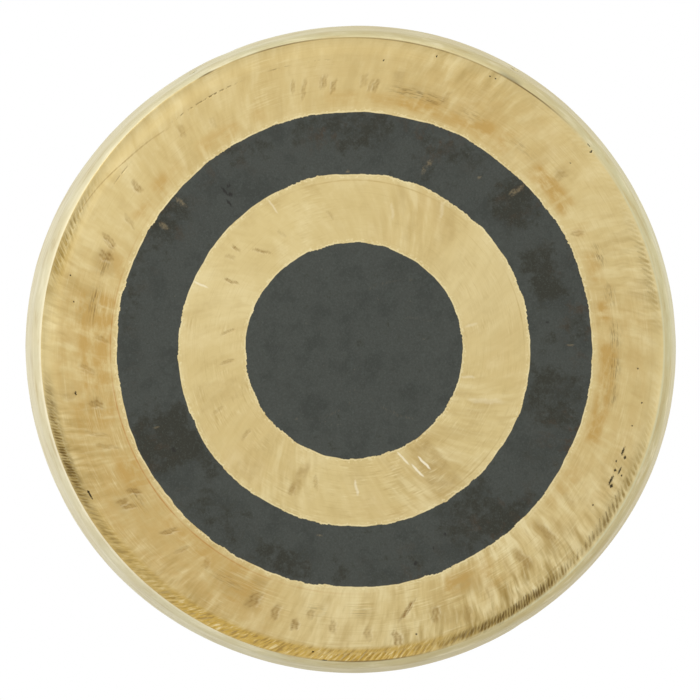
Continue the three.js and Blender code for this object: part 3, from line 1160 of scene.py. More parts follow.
def trimmed_rim(w, place, crease, edge_waviness):
    """How far the rim is moved outwards, by its broad hammered facets and its hand-trimmed free edge."""
    radius, depth, angle = place
    rim_radius = 380
    facets = w.noise(on_circle(w, angle, rim_radius / 30, w.times(depth, 1 / 16)), detail=2)
    facets = w.times(facets, 0.25 * MM, w.smooth(radius, crease + 3, crease + 12))
    waves = -EDGE_WAVES_TOP
    for count, share, crest in EDGE_WAVES:
        turned = w.times(w.minus(angle, math.radians(crest)), float(count))
        waves = w.plus(w.times(w.cos(turned), share), waves)
    filed = w.noise(ring_place(w, 0.0, angle, rim_radius, 40, 100), detail=2)
    waves = w.plus(w.times(filed, 0.12), waves)
    degrees = w.math("WRAP", w.math("DEGREES", angle), 360.0, 0.0)
    nicks = []
    for start, from_bottom, to_bottom, end in EDGE_NICKS:
        side = w.smooth(degrees, start, from_bottom)
        nicks.append(w.times(side, w.smooth(degrees, to_bottom, end, 1.0, 0.0)))
    waves = w.minus(waves, w.times(w.plus(*nicks), EDGE_NICK_DEPTH))
    towards_edge = w.smooth(radius, crease - 1.0, crease + 17.0)
    return w.plus(
        facets,
        w.times(waves, edge_waviness, towards_edge),
        w.times(towards_edge, -EDGE_SINK),
    )


def hammer_tree(sizes):
    """A Geometry Nodes tree that hammers the turned dish. Its depths are in metres."""
    tree = bpy.data.node_groups.new("Hammer work", "GeometryNodeTree")
    tree.interface.new_socket("Geometry", in_out="INPUT", socket_type="NodeSocketGeometry")
    for name in HAMMER_INPUTS:
        tree.interface.new_socket(name, in_out="INPUT", socket_type="NodeSocketFloat")
    tree.interface.new_socket("Geometry", in_out="OUTPUT", socket_type="NodeSocketGeometry")
    w = Wiring(tree)
    given = tree.nodes.new("NodeGroupInput").outputs
    position = w.add("GeometryNodeInputPosition")
    place = round_the_axis(w, position)
    radius, _, angle = place
    crease = ring_radii(sizes)[-1]

    stroke = close_strokes(w, place, crease, given["Strokes"])
    dent = w.add("GeometryNodeInputNamedAttribute", {"Name": DENT_GUIDE}, data_type="FLOAT")
    spread = w.noise(w.scaled(position, 8.0), detail=1)
    held = w.smooth(radius, crease - 6, crease + 6, 1.0, 0.0)
    into_sheet = w.plus(
        w.times(stroke, given["Stroke depth"]),
        w.times(dent, given["Dent depth"]),
        w.times(broad_ripples(w, place, sizes), given["Ripple depth"], held),
        w.times(spread, given["Unevenness"], held),
    )
    outwards = trimmed_rim(w, place, crease, given["Edge waviness"])
    moved = w.vector(w.times(w.cos(angle), outwards), into_sheet, w.times(w.sin(angle), outwards))
    geometry = w.add("GeometryNodeSetPosition", {"Geometry": given["Geometry"], "Offset": moved})
    kept = {"Geometry": geometry, "Name": STROKE_MARK, "Value": stroke}
    geometry = w.add("GeometryNodeStoreNamedAttribute", kept, data_type="FLOAT", domain="POINT")
    w.join(geometry, tree.nodes.new("NodeGroupOutput").inputs["Geometry"])
    return tree


def hammer(gong, sizes, hammering):
    only(gong)
    work = gong.modifiers.new("Hammer work", "NODES")
    work.node_group = hammer_tree(sizes)
    for item in work.node_group.interface.items_tree:
        if item.in_out == "INPUT" and item.name in HAMMER_INPUTS:
            work[item.identifier] = float(getattr(hammering, HAMMER_INPUTS[item.name]))
    bpy.ops.object.modifier_apply(modifier=work.name)


def hole_axes(sizes, dish):
    """For each hole: the middle of its outer mouth, and the direction that points out of it."""
    back = sizes.hole_from_edge / math.tan(dish.rim_turn)
    place = dish.along_axis(sizes.overall_depth) - sizes.hole_from_edge
    found = []
    for turn in (-sizes.hole_from_top, sizes.hole_from_top):
        ray = Vector((math.sin(turn), 0, math.cos(turn)))
        outward = ray * math.sin(dish.rim_turn) + Vector((0, -math.cos(dish.rim_turn), 0))
        found.append((ray * (dish.edge - back) + Vector((0, place, 0)), outward))
    return found


def drill(gong, sizes, hammering, material):
    """Drills the two holes for the hanging cord."""
    dish = Dish(sizes, hammering)
    radius = sizes.hole_diameter / 2
    for middle, outward in hole_axes(sizes, dish):
        deselect()
        bpy.ops.mesh.primitive_cylinder_add(
            vertices=HOLE_FACETS, radius=radius, depth=CUTTER_LENGTH, location=middle
        )
        cutter = bpy.context.object
        cutter.rotation_euler = outward.to_track_quat("Z", "Y").to_euler()
        bpy.ops.object.transform_apply(location=True, rotation=True, scale=True)
        cutter.data.materials.append(material)
        only(gong)
        cut = gong.modifiers.new("Hole", "BOOLEAN")
        cut.object = cutter
        cut.solver = "EXACT"
        bpy.ops.object.modifier_apply(modifier=cut.name)
        only(cutter)
        bpy.ops.object.delete()


def lay_out_bake_map(gong, sizes, hammering):
    """Lays the front and the back out as two round charts, and the walls of the holes beside them."""
    front_size, back_size, margin = 0.355, 0.222, 0.003
    hole_u, hole_v, hole_step = 0.93, 0.03, 0.06
    for_each_radian, for_each_metre = 0.008, 3
    dish = Dish(sizes, hammering)
    mesh = gong.data
    vertex, face, count = corners_of_faces(mesh)
    place = read(mesh.vertices, "co", 3).reshape(-1, 3)[vertex]
    skin = read(mesh.attributes[FRONT_SKIN].data, "value")
    is_front = (np.bincount(face, skin[vertex]) / count > 0.4)[face]

    radius = np.hypot(place[:, 0], place[:, 2])
    angle = np.arctan2(place[:, 2], place[:, 0])
    beyond = np.hypot(radius - dish.crease, place[:, 1] - dish.along_axis(sizes.dome_rise))
    path = np.where(radius < dish.crease, radius, dish.crease + beyond)
    rim_reach = math.hypot(dish.edge - dish.crease, sizes.overall_depth - sizes.dome_rise) + 3 * MM
    scale = np.where(is_front, front_size, back_size) / (dish.crease + rim_reach)
    middle = np.where(is_front, front_size + margin, 1 - back_size - margin)
    u = middle + path * scale * np.cos(angle)
    v = middle + path * scale * np.sin(angle)

    for i, (mouth, outward) in enumerate(hole_axes(sizes, dish)):
        away = place - np.array(mouth)
        depth = away @ np.array(outward)
        across = np.linalg.norm(away - depth[:, None] * np.array(outward), axis=1)
        near = (np.abs(across - sizes.hole_diameter / 2) < 0.05 * MM) & (np.abs(depth) < 8 * MM)
        wall = (np.bincount(face, near) == count)[face]
        side = np.cross(np.array(outward), np.array([0.0, 1.0, 0.0]))
        round_hole = np.arctan2(away @ side, away[:, 1])
        u = np.where(wall, hole_u + for_each_radian * round_hole, u)
        v = np.where(wall, hole_v + hole_step * i + for_each_metre * depth, v)

    layer = mesh.uv_layers.new(name=BAKE_MAP)
    layer.uv.foreach_set("vector", np.stack([u, v], axis=1).astype(np.float32).ravel())


# Materials


def group(name, inputs, outputs):
    """A shader node group with named sockets. Returns it, its wiring, its given values and its results."""
    tree = bpy.data.node_groups.new(name, "ShaderNodeTree")
    kinds = {"Position": "NodeSocketVector", "Colour": "NodeSocketColor"}
    for names, side in ((inputs, "INPUT"), (outputs, "OUTPUT")):
        for socket in names:
            tree.interface.new_socket(socket, in_out=side, socket_type=kinds.get(socket, "NodeSocketFloat"))
    given = tree.nodes.new("NodeGroupInput").outputs
    results = tree.nodes.new("NodeGroupOutput").inputs
    return tree, Wiring(tree), given, results


def place_group(wiring, tree, inputs):
    node = wiring.tree.nodes.new("ShaderNodeGroup")
    node.node_tree = tree
    for name, value in inputs.items():
        socket = node.inputs[name]
        if not isinstance(value, bpy.types.NodeSocket) and socket.type == "RGBA":
            value = (*value, 1.0)
        wiring.join(value, socket)
    return node.outputs


def axis_group():
    names = ("Radius", "Depth", "Angle")
    tree, w, given, results = group("Round the axis", ("Position",), names)
    for name, value in zip(names, round_the_axis(w, given["Position"])):
        w.join(value, results[name])
    return tree


# Radius in millimetres at which the grain of both bands has its stated size
GRAIN_RADIUS = 300


def lathe_group():
    """Fine lines round the axis that the scraper leaves, stronger in some patches than in others."""
    tree, w, given, results = group("Scraper lines", ("Radius", "Angle", "Pitch"), ("Lines", "Scratches"))
    radius, angle = given["Radius"], given["Angle"]
    turns = w.math("DIVIDE", radius, given["Pitch"])
    line = w.noise(on_circle(w, angle, GRAIN_RADIUS / 26, turns), detail=1)
    patches = w.noise(ring_place(w, radius, angle, GRAIN_RADIUS, 38, 22), detail=3)
    w.join(w.times(line, w.smooth(patches, -0.35, 0.45), 2.0), results["Lines"])
    w.join(w.noise(ring_place(w, radius, angle, GRAIN_RADIUS, 90, 0.9), detail=3), results["Scratches"])
    return tree


def streak_group():
    """Soft light and dark streaks along the rays, from the hammering under the scraping; laid on as colour
    they are painted light and shade of its ripples.
    """
    tree, w, given, results = group(
        "Ray streaks", ("Radius", "Angle", "Lean", "Ring radius"), ("Broad", "Middling", "Fine")
    )
    warp = w.noise(ring_place(w, given["Radius"], given["Angle"], GRAIN_RADIUS, 45, 45), detail=2)
    turned = w.plus(w.times(given["Radius"], given["Lean"]), given["Angle"], w.times(warp, 0.02))
    kinds = (("Broad", 26, 60, 3.0), ("Middling", 11, 34, 7.0), ("Fine", 4, 22, 11.0))
    for name, across, along, seed in kinds:
        reach = w.math("DIVIDE", given["Ring radius"], across)
        place = on_circle(w, turned, reach, w.plus(w.times(given["Radius"], 1 / along), seed))
        w.join(w.noise(place, detail=2), results[name])
    return tree


def edge_group():
    """1 outside a ring's edge, which the scraper leaves ragged, and 1 on the thin burr along it.

    The ring's middle is off the gong's axis by the offset, towards the given direction in radians.
    """
    tree, w, given, results = group(
        "Ragged edge",
        ("Radius", "Angle", "Edge", "Offset", "Direction", "Seed", "Burr side"),
        ("Outside", "Burr", "From edge"),
    )
    cos = w.cos(given["Angle"])
    sin = w.sin(given["Angle"])

    def wander(across, size, detail):
        reach = w.math("DIVIDE", given["Edge"], across)
        place = w.vector(w.times(cos, reach), w.times(sin, reach), given["Seed"])
        return w.times(w.noise(place, detail=detail), size)

    rough = w.smooth(wander(60, 1.0, 1), -0.25, 0.3)
    steps = w.math("SNAP", wander(22, 3.6, 1), 1.0)
    off_centre = w.times(w.cos(w.minus(given["Angle"], given["Direction"])), given["Offset"])
    off = w.plus(
        w.minus(given["Radius"], given["Edge"]),
        w.times(off_centre, -1.0),
        wander(75, 3.0, 2),
        wander(16, 1.1, 2),
        w.times(steps, rough, 0.8),
        w.times(wander(3.0, 1.1, 1), rough),
    )
    w.join(w.smooth(off, -0.4, 0.4), results["Outside"])
    into_bright = w.times(off, given["Burr side"])
    burr = w.times(w.smooth(into_bright, -0.3, 0.5), w.smooth(into_bright, 1.0, 2.2, 1.0, 0.0))
    reach = w.math("DIVIDE", given["Edge"], 3.4)
    crumb_place = w.vector(w.times(cos, reach), w.times(sin, reach), w.times(given["Radius"], 0.36))
    crumbs = w.smooth(w.noise(crumb_place, detail=2), 0.0, 0.35)
    beside = w.times(w.smooth(into_bright, 0.0, 1.0), w.smooth(into_bright, 6.5, 2.0), crumbs)
    burr = w.times(burr, w.smooth(wander(18, 1.0, 3), -0.4, 0.3))
    w.join(w.largest(burr, w.times(beside, 0.8)), results["Burr"])
    w.join(off, results["From edge"])
    return tree


def oxide_group(colours):
    """The dark skin of the forging: mottled, with brown smudges and fine scuffs."""
    tree, w, given, results = group(
        "Oxide skin", ("Position", "Radius", "Angle", "Brown", "Rust"), ("Colour", "Roughness", "Height")
    )
    place = w.scaled(given["Position"], 1 / MM)
    clouds = w.noise(w.scaled(place, 1 / 34), detail=5, roughness=0.62)
    mottle = w.noise(w.scaled(place, 1 / 11), detail=5, roughness=0.7)
    grain = w.noise(w.scaled(place, 1 / 2.2), detail=3, roughness=0.7)
    smudge = w.noise(ring_place(w, given["Radius"], given["Angle"], 240, 16, 24), detail=5, roughness=0.7)
    coats = Coats(w, colours.oxide)
    coats.add(colours.oxide_dark, w.smooth(clouds, 0.1, -0.3, 0.0, 0.5))
    coats.add(colours.oxide_light, w.smooth(mottle, 0.0, 0.35, 0.0, 0.3))
    patch = w.plus(w.times(given["Brown"], 0.5), w.times(mottle, 0.8), w.times(clouds, 0.4))
    coats.add(colours.oxide_brown, w.smooth(patch, 0.08, 0.55, 0.0, 0.9))
    coats.add(colours.rust, w.smooth(smudge, 0.0, 0.35), given["Rust"], 0.7)
    coats.add(colours.oxide_light, w.smooth(grain, 0.0, 0.4, 0.0, 0.35))
    coats.add(colours.oxide_dark, w.smooth(grain, 0.0, -0.4, 0.0, 0.35))
    scuffed = w.smooth(w.noise(w.scaled(place, 1 / 13), detail=6, roughness=0.8), 0.24, 0.42)
    coats.add(colours.scuff, scuffed, w.smooth(grain, 0.0, 0.3), 0.3)
    w.join(coats.colour, results["Colour"])
    w.join(w.linear(mottle, 0.08, 0.56), results["Roughness"])
    w.join(w.plus(w.times(mottle, 0.04), w.times(grain, 0.03)), results["Height"])
    return tree


def new_material(name):
    material = bpy.data.materials.new(name)
    material.use_nodes = True
    nodes = material.node_tree.nodes
    nodes.clear()
    wiring = Wiring(material.node_tree)
    shader = nodes.new("ShaderNodeBsdfPrincipled")
    output = nodes.new("ShaderNodeOutputMaterial")
    wiring.join(shader.outputs["BSDF"], output.inputs["Surface"])
    position = wiring.add("ShaderNodeTexCoord", output="Object")
    return material, wiring, shader, position


def carry(wiring, shader, colour, roughness, metallic, height):
    """Joins a finish to the shader of its material. The height is in millimetres."""
    wiring.join(colour, shader.inputs["Base Color"])
    wiring.join(roughness, shader.inputs["Roughness"])
    wiring.join(metallic, shader.inputs["Metallic"])
    bump = {"Height": height, "Distance": MM, "Strength": 1.0}
    wiring.join(wiring.add("ShaderNodeBump", bump), shader.inputs["Normal"])


def painted(wiring, name):
    """The three values that are painted on the mesh under a name."""
    return wiring.separate(wiring.add("ShaderNodeAttribute", output="Vector", attribute_name=name))


class StruckFace:
    """Values over the struck face that the steps of its finish share. Lengths are in millimetres."""

    def __init__(self, w, position, sizes, groups):
        self.radius, _, self.angle = place_group(w, groups["axis"], {"Position": position})
        self.disc, self.inner, self.ring, self.crease = ring_radii(sizes)
        self.first_pass = sizes.first_pass_width / MM
        # The radius from the middle of the scraped rings
        self.turned = w.plus(self.radius, w.times(w.cos(self.angle), -RING_OFFSET))
        self.find_edges(w, groups["edge"])

        self.on_outer = w.smooth(self.radius, self.ring - 20, self.ring - 10)
        lean = w.blend(self.on_outer, -INNER_LEAN, -OUTER_LEAN)
        middle = w.blend(self.on_outer, INNER_MIDDLE, OUTER_MIDDLE)
        round_face = {"Radius": self.radius, "Angle": self.angle}
        self.streaks = place_group(w, groups["streaks"], round_face | {"Lean": lean, "Ring radius": middle})
        self.lines = place_group(w, groups["lathe"], round_face | {"Radius": self.turned, "Pitch": 1.7})
        self.clouds = w.noise(w.scaled(position, 1000 / 40), detail=5, roughness=0.62)
        self.patches = w.noise(self.grain(w, 290, 26, 11), detail=5, roughness=0.68)
        self.flecks = w.noise(self.grain(w, self.crease, 3.6, 9, STROKE_SLANT), detail=2, roughness=0.6)

        self.busy, self.fan, self.smudge = painted(w, TONES)
        self.fine_lines, self.step, _ = painted(w, LINES)
        self.dull, self.yellow, _ = painted(w, CASTS)
        self.orange, self.golden, self.olive_shade = painted(w, STAINS_AND_SHADE)
        self.brown, self.hatched, self.dark_stroke = painted(w, DARKENING)
        self.dented, self.lit, self.flaw = painted(w, MARKS)
        self.crease_line, self.soft, dotted = painted(w, CREASE_MARKS)
        start, end = DOTTED_LINE_RADIUS - DOTTED_LINE_HALF_WIDTH, DOTTED_LINE_RADIUS + DOTTED_LINE_HALF_WIDTH
        spots = w.smooth(w.noise(self.grain(w, 340, 5, 5), detail=2), -0.15, 0.15)
        self.dots = w.times(dotted, w.window(self.radius, start, end, 0.6), spots)

    def grain(self, w, ring_radius, across, along, slant=0.0):
        return ring_place(w, self.radius, self.angle, ring_radius, across, along, slant)

    def find_edges(self, w, edge_tree):
        """Where the bright bands are, how far off the disc's edge is, and where a burr stands."""

        def edge(at, seed, side, offset, direction):
            values = {
                "Radius": self.turned,
                "Angle": self.angle,
                "Edge": at,
                "Offset": offset,
                "Direction": math.radians(direction),
                "Seed": seed,
                "Burr side": side,
            }
            return place_group(w, edge_tree, values)

        disc = edge(self.disc + 0.5, 1.0, 1.0, 1.8, 204)
        inner = edge(self.inner - 0.3, 5.0, -1.0, 0.5, 227)
        ring = edge(self.ring + 0.3, 9.0, 1.0, 0.0, 0)
        self.bright = w.plus(w.times(disc["Outside"], w.invert(inner["Outside"])), ring["Outside"])
        self.on_disc = w.invert(disc["Outside"])
        self.from_disc = disc["From edge"]
        self.burr = w.largest(disc["Burr"], inner["Burr"], ring["Burr"])


def lay_bronze(w, face, coats, colours):
    """Clouds, dull and bright stretches, and streaks along the rays, which are painted light and shade of the
    hammered ripples.
    """
    coats.add(colours.pale, w.smooth(face.clouds, 0.0, 0.5, 0.0, 0.5))
    coats.add(colours.shaded, w.smooth(face.clouds, 0.0, -0.5, 0.0, 0.4))
    coats.add(colours.shaded, face.dull)
    coats.add(colours.pale, face.dull, -1.0)
    coats.add(colours.stain, face.yellow, w.smooth(face.clouds, -0.4, 0.3), 0.6)
    # Painted light and shade of the hammered ripples along the rays
    for name, high, share in (("Broad", 0.5, 0.75), ("Middling", 0.45, 0.7), ("Fine", 0.5, 0.35)):
        coats.add(colours.pale, w.smooth(face.streaks[name], 0.0, high), face.busy, share)
        coats.add(colours.shaded, w.smooth(face.streaks[name], 0.0, -high), face.busy, share)


def lay_stains(w, face, coats, colours):
    """Warm stains, smudges and brown hatching that the scraper left standing."""
    gaps = w.smooth(face.streaks["Middling"], 0.5, 0.0, 0.4, 1.0)
    coats.add(colours.stain, w.smooth(face.patches, -0.5, 0.25), face.orange, gaps)
    coats.add(colours.shaded, face.smudge, w.smooth(face.patches, 0.6, -0.3, 0.4, 1.0), 0.55)
    coats.add(colours.dent, face.smudge, w.smooth(face.patches, 0.2, -0.4), 0.3)
    broken = w.smooth(w.noise(face.grain(w, 306, 9, 1.8), detail=3), -0.25, 0.3)
    left_standing = w.smooth(face.lines["Scratches"], -0.22, 0.12)
    coats.add(colours.shaded, face.hatched, w.smooth(face.patches, -0.4, 0.4), 0.5)
    coats.add(colours.patina_and_shade, face.hatched, broken, left_standing, 0.8)


def lay_scraper_lines(w, face, coats, colours):
    """The scraper's fine lines. Its first passes leave a brighter strip and, here and there, a step line,
    which on the inner band is painted shadow of the step.
    """
    strength = w.times(face.fine_lines, 0.4)
    coats.add(colours.shaded, w.smooth(face.lines["Lines"], 0.0, -0.9), strength)
    coats.add(colours.pale, w.smooth(face.lines["Lines"], 0.0, 0.9), strength)
    coats.add(colours.shaded, w.smooth(face.lines["Scratches"], 0.15, 0.6, 0.0, 0.4))

    outer_end, inner_end = face.ring + face.first_pass, face.inner - face.first_pass
    strip = w.plus(
        w.window(face.turned, face.ring, outer_end, 0.6), w.window(face.turned, inner_end, face.inner, 0.6)
    )
    coats.add(colours.pale, strip, w.smooth(face.patches, -0.3, 0.4), 0.2)
    # The step line: on the inner band, in the shaded colour, it is painted shadow of the step; on the outer
    # band it is an orange line
    step_line = w.plus(
        w.window(face.turned, outer_end + 0.4, outer_end + 1.8, 0.5),
        w.window(face.turned, inner_end - 1.4, inner_end, 0.5),
    )
    broken = w.smooth(face.patches, -0.5, 0.3, 0.25, 1.0)
    line_colour = w.colours(face.on_outer, colours.shaded, colours.rusty_line)
    coats.add(line_colour, step_line, face.step, broken, 0.75)


def lay_close_strokes(w, face, coats, colours):
    """The ring of close strokes, the streaks that fan in from it, and the dark line of the crease. Much of it
    is painted light and shade: the olive and brown round the strokes, the fan streaks, the pale ridges and
    the crease line; the brown in the strokes is partly patina.
    """
    # Painted shade and light: dark and pale streaks that fan in from the strokes
    coats.add(colours.olive_shade, face.fan, w.smooth(face.streaks["Middling"], 0.2, -0.45), 0.8)
    coats.add(colours.olive_shade, face.fan, w.smooth(face.streaks["Fine"], 0.1, -0.5), 0.7)
    coats.add(colours.pale, face.fan, w.smooth(face.streaks["Fine"], 0.1, 0.5), 0.6)
    coats.add(colours.golden, face.golden, 0.95)
    coats.add(colours.dent, face.golden, w.smooth(face.flecks, 0.05, -0.35), 0.7)
    coats.add(colours.pale, face.golden, w.smooth(face.flecks, 0.1, 0.4), 0.6)
    # Painted shade: olive round the close strokes
    coats.add(colours.olive_shade, face.olive_shade, w.smooth(face.flecks, 0.35, -0.3, 0.35, 0.9))

    # Painted shade with some patina: brown just inside the crease
    near = w.window(face.radius, face.crease - 10, face.crease - 1, 3.6)
    coats.add(colours.olive_shade, near, face.brown, 0.8)
    coats.add(colours.patina_and_shade, near, face.brown, w.smooth(face.flecks, 0.2, -0.25), 0.8)
    stroke = w.add("ShaderNodeAttribute", output="Fac", attribute_name=STROKE_MARK)
    # Brown in the hollows of the strokes: patina, made stronger by direction as painted shade
    coats.add(colours.patina_and_shade, w.smooth(stroke, 0.3, 0.9), face.dark_stroke, 0.75)
    strength = painted(w, STROKE_GUIDE)[0]
    # Painted highlight on the ridges between the strokes
    coats.add(colours.pale, w.smooth(stroke, 0.16, 0.02), near, strength, w.linear(face.brown, -0.3, 0.5))

    # Painted sheen: on the soft stretch of the crease the rim's pale colour runs onto the face just inside it
    soft_lip = w.smooth(face.radius, face.crease - 3.2, face.crease - 0.4)
    coats.add(colours.rim_shaded, face.soft, soft_lip, 0.85)
    # Painted shade: a dark line in the crease
    line = w.window(face.radius, face.crease - 0.9, face.crease + 0.6, 0.5)
    coats.add(colours.patina_and_shade, line, face.crease_line, 0.75)


def lay_marks(w, face, coats, colours):
    """Dents, folds, flaws, the line of dots and the burr. The lit lips of the dents, the folds and the pale
    on the burr are painted highlights.
    """
    scraped_over = w.linear(face.lines["Scratches"], 0.6, 0.8)
    coats.add(colours.dent, face.dented, scraped_over, w.smooth(face.flecks, 0.4, -0.2, 0.6, 1.0))
    # Painted highlight: the lit lips of the dents and the folds
    coats.add(colours.fresh, face.lit, 0.9)
    # Painted highlight along the burr and beside it
    coats.add(colours.pale, face.burr, 0.8)
    coats.add(colours.patina_and_shade, face.dots, 0.75)
    coats.add(colours.soot, face.flaw, 0.95)


def lay_dark_skin(w, face, skin, oxide_height, pits, colours):
    """Pits, rubbed spots and the scraper's chatter beside the edge of the disc."""
    skin.add(colours.soot, pits, 0.85)
    rubbed = w.smooth(oxide_height, -0.02, 0.015)
    skin.add(colours.scuff, pits, rubbed, -0.55)
    chatter = w.times(w.smooth(face.from_disc, -7.0, -1.0), w.smooth(face.streaks["Fine"], 0.1, 0.6), 0.4)
    skin.add(colours.oxide_light, chatter, face.on_disc)


def face_material(sizes, colours, groups):
    """The struck face: bright scraped bands, with the oxide skin on the disc and the ring between them."""
    material, w, shader, position = new_material("struck face")
    face = StruckFace(w, position, sizes, groups)
    bronze = Coats(w, colours.bronze)
    for lay in (lay_bronze, lay_stains, lay_scraper_lines, lay_close_strokes, lay_marks):
        lay(w, face, bronze, colours)

    brownish, rust, pits = painted(w, SKIN_MARKS)
    place = {"Position": position, "Radius": face.radius, "Angle": face.angle}
    oxide = place_group(w, groups["oxide"], place | {"Brown": brownish, "Rust": rust})
    skin = Coats(w, oxide["Colour"])
    lay_dark_skin(w, face, skin, oxide["Height"], pits, colours)

    finish = w.colours(face.bright, skin.colour, bronze.colour)
    roughness = w.blend(face.bright, oxide["Roughness"], w.linear(face.streaks["Broad"], 0.05, 0.34))
    scraped = w.plus(
        w.times(face.lines["Lines"], 0.014),
        w.times(face.lines["Scratches"], 0.02),
        w.times(face.streaks["Middling"], 0.05),
        w.times(face.streaks["Fine"], 0.03),
        w.times(face.burr, 0.05),
        w.times(w.largest(face.flaw, face.dots), -0.3),
    )
    proud = w.plus(oxide["Height"], sizes.scrape_depth / MM * 0.6)
    shader.inputs["Specular IOR Level"].default_value = 0.3
    carry(w, shader, finish, roughness, face.bright, w.blend(face.bright, proud, scraped))
    return material


def rim_material(sizes, colours, groups):
    """The shoulder and the outside of the rim: hammered and rubbed smooth. Its pale colour is painted sheen,
    palest at the left where the light falls, with painted shade at the upper right and the lower right.
    """
    material, w, shader, position = new_material("rim")
    radius, depth, angle = place_group(w, groups["axis"], {"Position": position})
    crease = sizes.crease_diameter / 2 / MM
    lines = w.noise(on_circle(w, angle, 7.0, w.times(depth, 0.18)), detail=4, roughness=0.65)
    blots = w.noise(w.scaled(position, 26.0), detail=4)
    coats = Coats(w, colours.rim_shaded)
    # Painted light: the rim is paler towards the left, where the light falls on it
    coats.add(colours.rim, w.facing(angle, 187, 100))
    # Painted shade on the rim at the upper right and at the lower right
    for degrees, half_width, share in ((68, 40, 0.3), (308, 70, 0.33)):
        coats.add(colours.shaded, w.facing(angle, degrees, half_width), share)
    coats.add(colours.bronze, w.smooth(blots, -0.4, 0.4, 0.0, 0.2))
    # Lines round the rim, lighter and darker: painted sheen and shade along its turned lines
    coats.add(colours.fresh, w.smooth(lines, 0.0, 0.4, 0.0, 0.4))
    coats.add(colours.shaded, w.smooth(lines, 0.0, -0.4, 0.0, 0.4))
    crease_line, soft, _ = painted(w, CREASE_MARKS)
    # On the soft stretch the rim's painted sheen fades into the face's bronze near the crease
    coats.add(colours.bronze, soft, w.smooth(radius, crease + 5, crease, 0.0, 0.3))
    # Painted highlight on the crease's lip, strongest at the left
    bright_lip = w.times(w.window(radius, crease + 0.6, crease + 2.6, 0.5), painted(w, LINES)[2], 0.6)
    coats.add(colours.fresh, bright_lip)
    # Painted shade of the crease on the rim's side
    line = w.times(w.smooth(radius, crease + 1.2, crease + 0.4), crease_line)
    coats.add(colours.patina_and_shade, line, 0.75)
    # Painted reflection of something dark in a dent just outside the crease at the upper right, in the oxide
    # colour
    smudge = w.times(w.facing(angle, 60, 3), w.smooth(radius, crease + 7, crease))
    coats.add(colours.oxide, smudge, 0.45)
    roughness = w.linear(lines, 0.06, 0.5)
    height = w.plus(w.times(lines, 0.05), w.times(blots, 0.05))
    carry(w, shader, coats.colour, roughness, 1.0, height)
    return material


def back_material(sizes, colours, groups):
    """The hidden side: coarser scraped bands round the same dark disc and ring, and a dark rim as forged."""
    material, w, shader, position = new_material("back")
    radius, _, angle = place_group(w, groups["axis"], {"Position": position})
    disc, inner, ring, crease = ring_radii(sizes)
    round_gong = {"Radius": radius, "Angle": angle}

    def outside(at, seed):
        values = round_gong | {"Edge": at, "Seed": seed, "Burr side": 1.0}
        return place_group(w, groups["edge"], values)["Outside"]

    bright = w.plus(
        w.times(outside(disc, 21.0), w.invert(outside(inner, 25.0))),
        w.times(outside(ring, 29.0), w.invert(outside(crease - 9, 33.0))),
    )
    streaks = place_group(w, groups["streaks"], round_gong | {"Lean": 0.0, "Ring radius": 290.0})
    lines = place_group(w, groups["lathe"], round_gong | {"Pitch": 2.4})
    coats = Coats(w, colours.shaded)
    coats.add(colours.bronze, w.smooth(streaks["Broad"], -0.6, 0.7))
    coats.add(colours.dent, w.smooth(streaks["Middling"], 0.0, -0.7, 0.0, 0.5))
    coats.add(colours.dent, w.smooth(lines["Lines"], 0.0, -1.0, 0.0, 0.4))
    coats.add(colours.dent, w.smooth(lines["Scratches"], 0.2, 0.9, 0.0, 0.4))
    oxide = place_group(w, groups["oxide"], round_gong | {"Position": position, "Brown": 0.35, "Rust": 0.5})
    finish = w.colours(bright, oxide["Colour"], coats.colour)
    roughness = w.blend(bright, oxide["Roughness"], 0.4)
    height = w.blend(bright, w.plus(oxide["Height"], 0.1), w.times(lines["Lines"], 0.025))
    shader.inputs["Specular IOR Level"].default_value = 0.3
    carry(w, shader, finish, roughness, bright, height)
    return material


def gong_materials(sizes, colours):
    groups = {
        "axis": axis_group(),
        "lathe": lathe_group(),
        "streaks": streak_group(),
        "edge": edge_group(),
        "oxide": oxide_group(colours),
    }
    return [make(sizes, colours, groups) for make in (face_material, rim_material, back_material)]


class GONG_OT_forge(bpy.types.Operator):
    """Turns, hammers, drills and finishes the gong"""

    bl_idname = "gong.forge"
    bl_label = "Forge the gong"

    def execute(self, context):
        scene = context.scene
        sizes, hammering, colours = scene.gong_sizes, scene.gong_hammering, scene.gong_colours
        materials = gong_materials(sizes, colours)
        gong = turn_dish(sizes, hammering, materials)
        refine(gong)
        paint_guides(gong, sizes)
        hammer(gong, sizes, hammering)
        drill(gong, sizes, hammering, materials[1])
        only(gong)
        bpy.ops.object.shade_smooth()
        lay_out_bake_map(gong, sizes, hammering)
        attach(gong, "root")
        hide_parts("gong")
        return {"FINISHED"}


# The stage


def floor_material(faded_at):
    """Pale floor that fades into the backdrop away from the gong."""
    material, w, shader, position = new_material("pale floor")
    x, y, _ = w.separate(position)
    away = w.math("SQRT", w.plus(w.times(x, x), w.times(y, y)))
    shader.inputs["Base Color"].default_value = (0.86, 0.86, 0.86, 1)
    shader.inputs["Roughness"].default_value = 0.8
    w.join(w.smooth(away, 0.9, faded_at, 1.0, 0.0), shader.inputs["Alpha"])
    return material


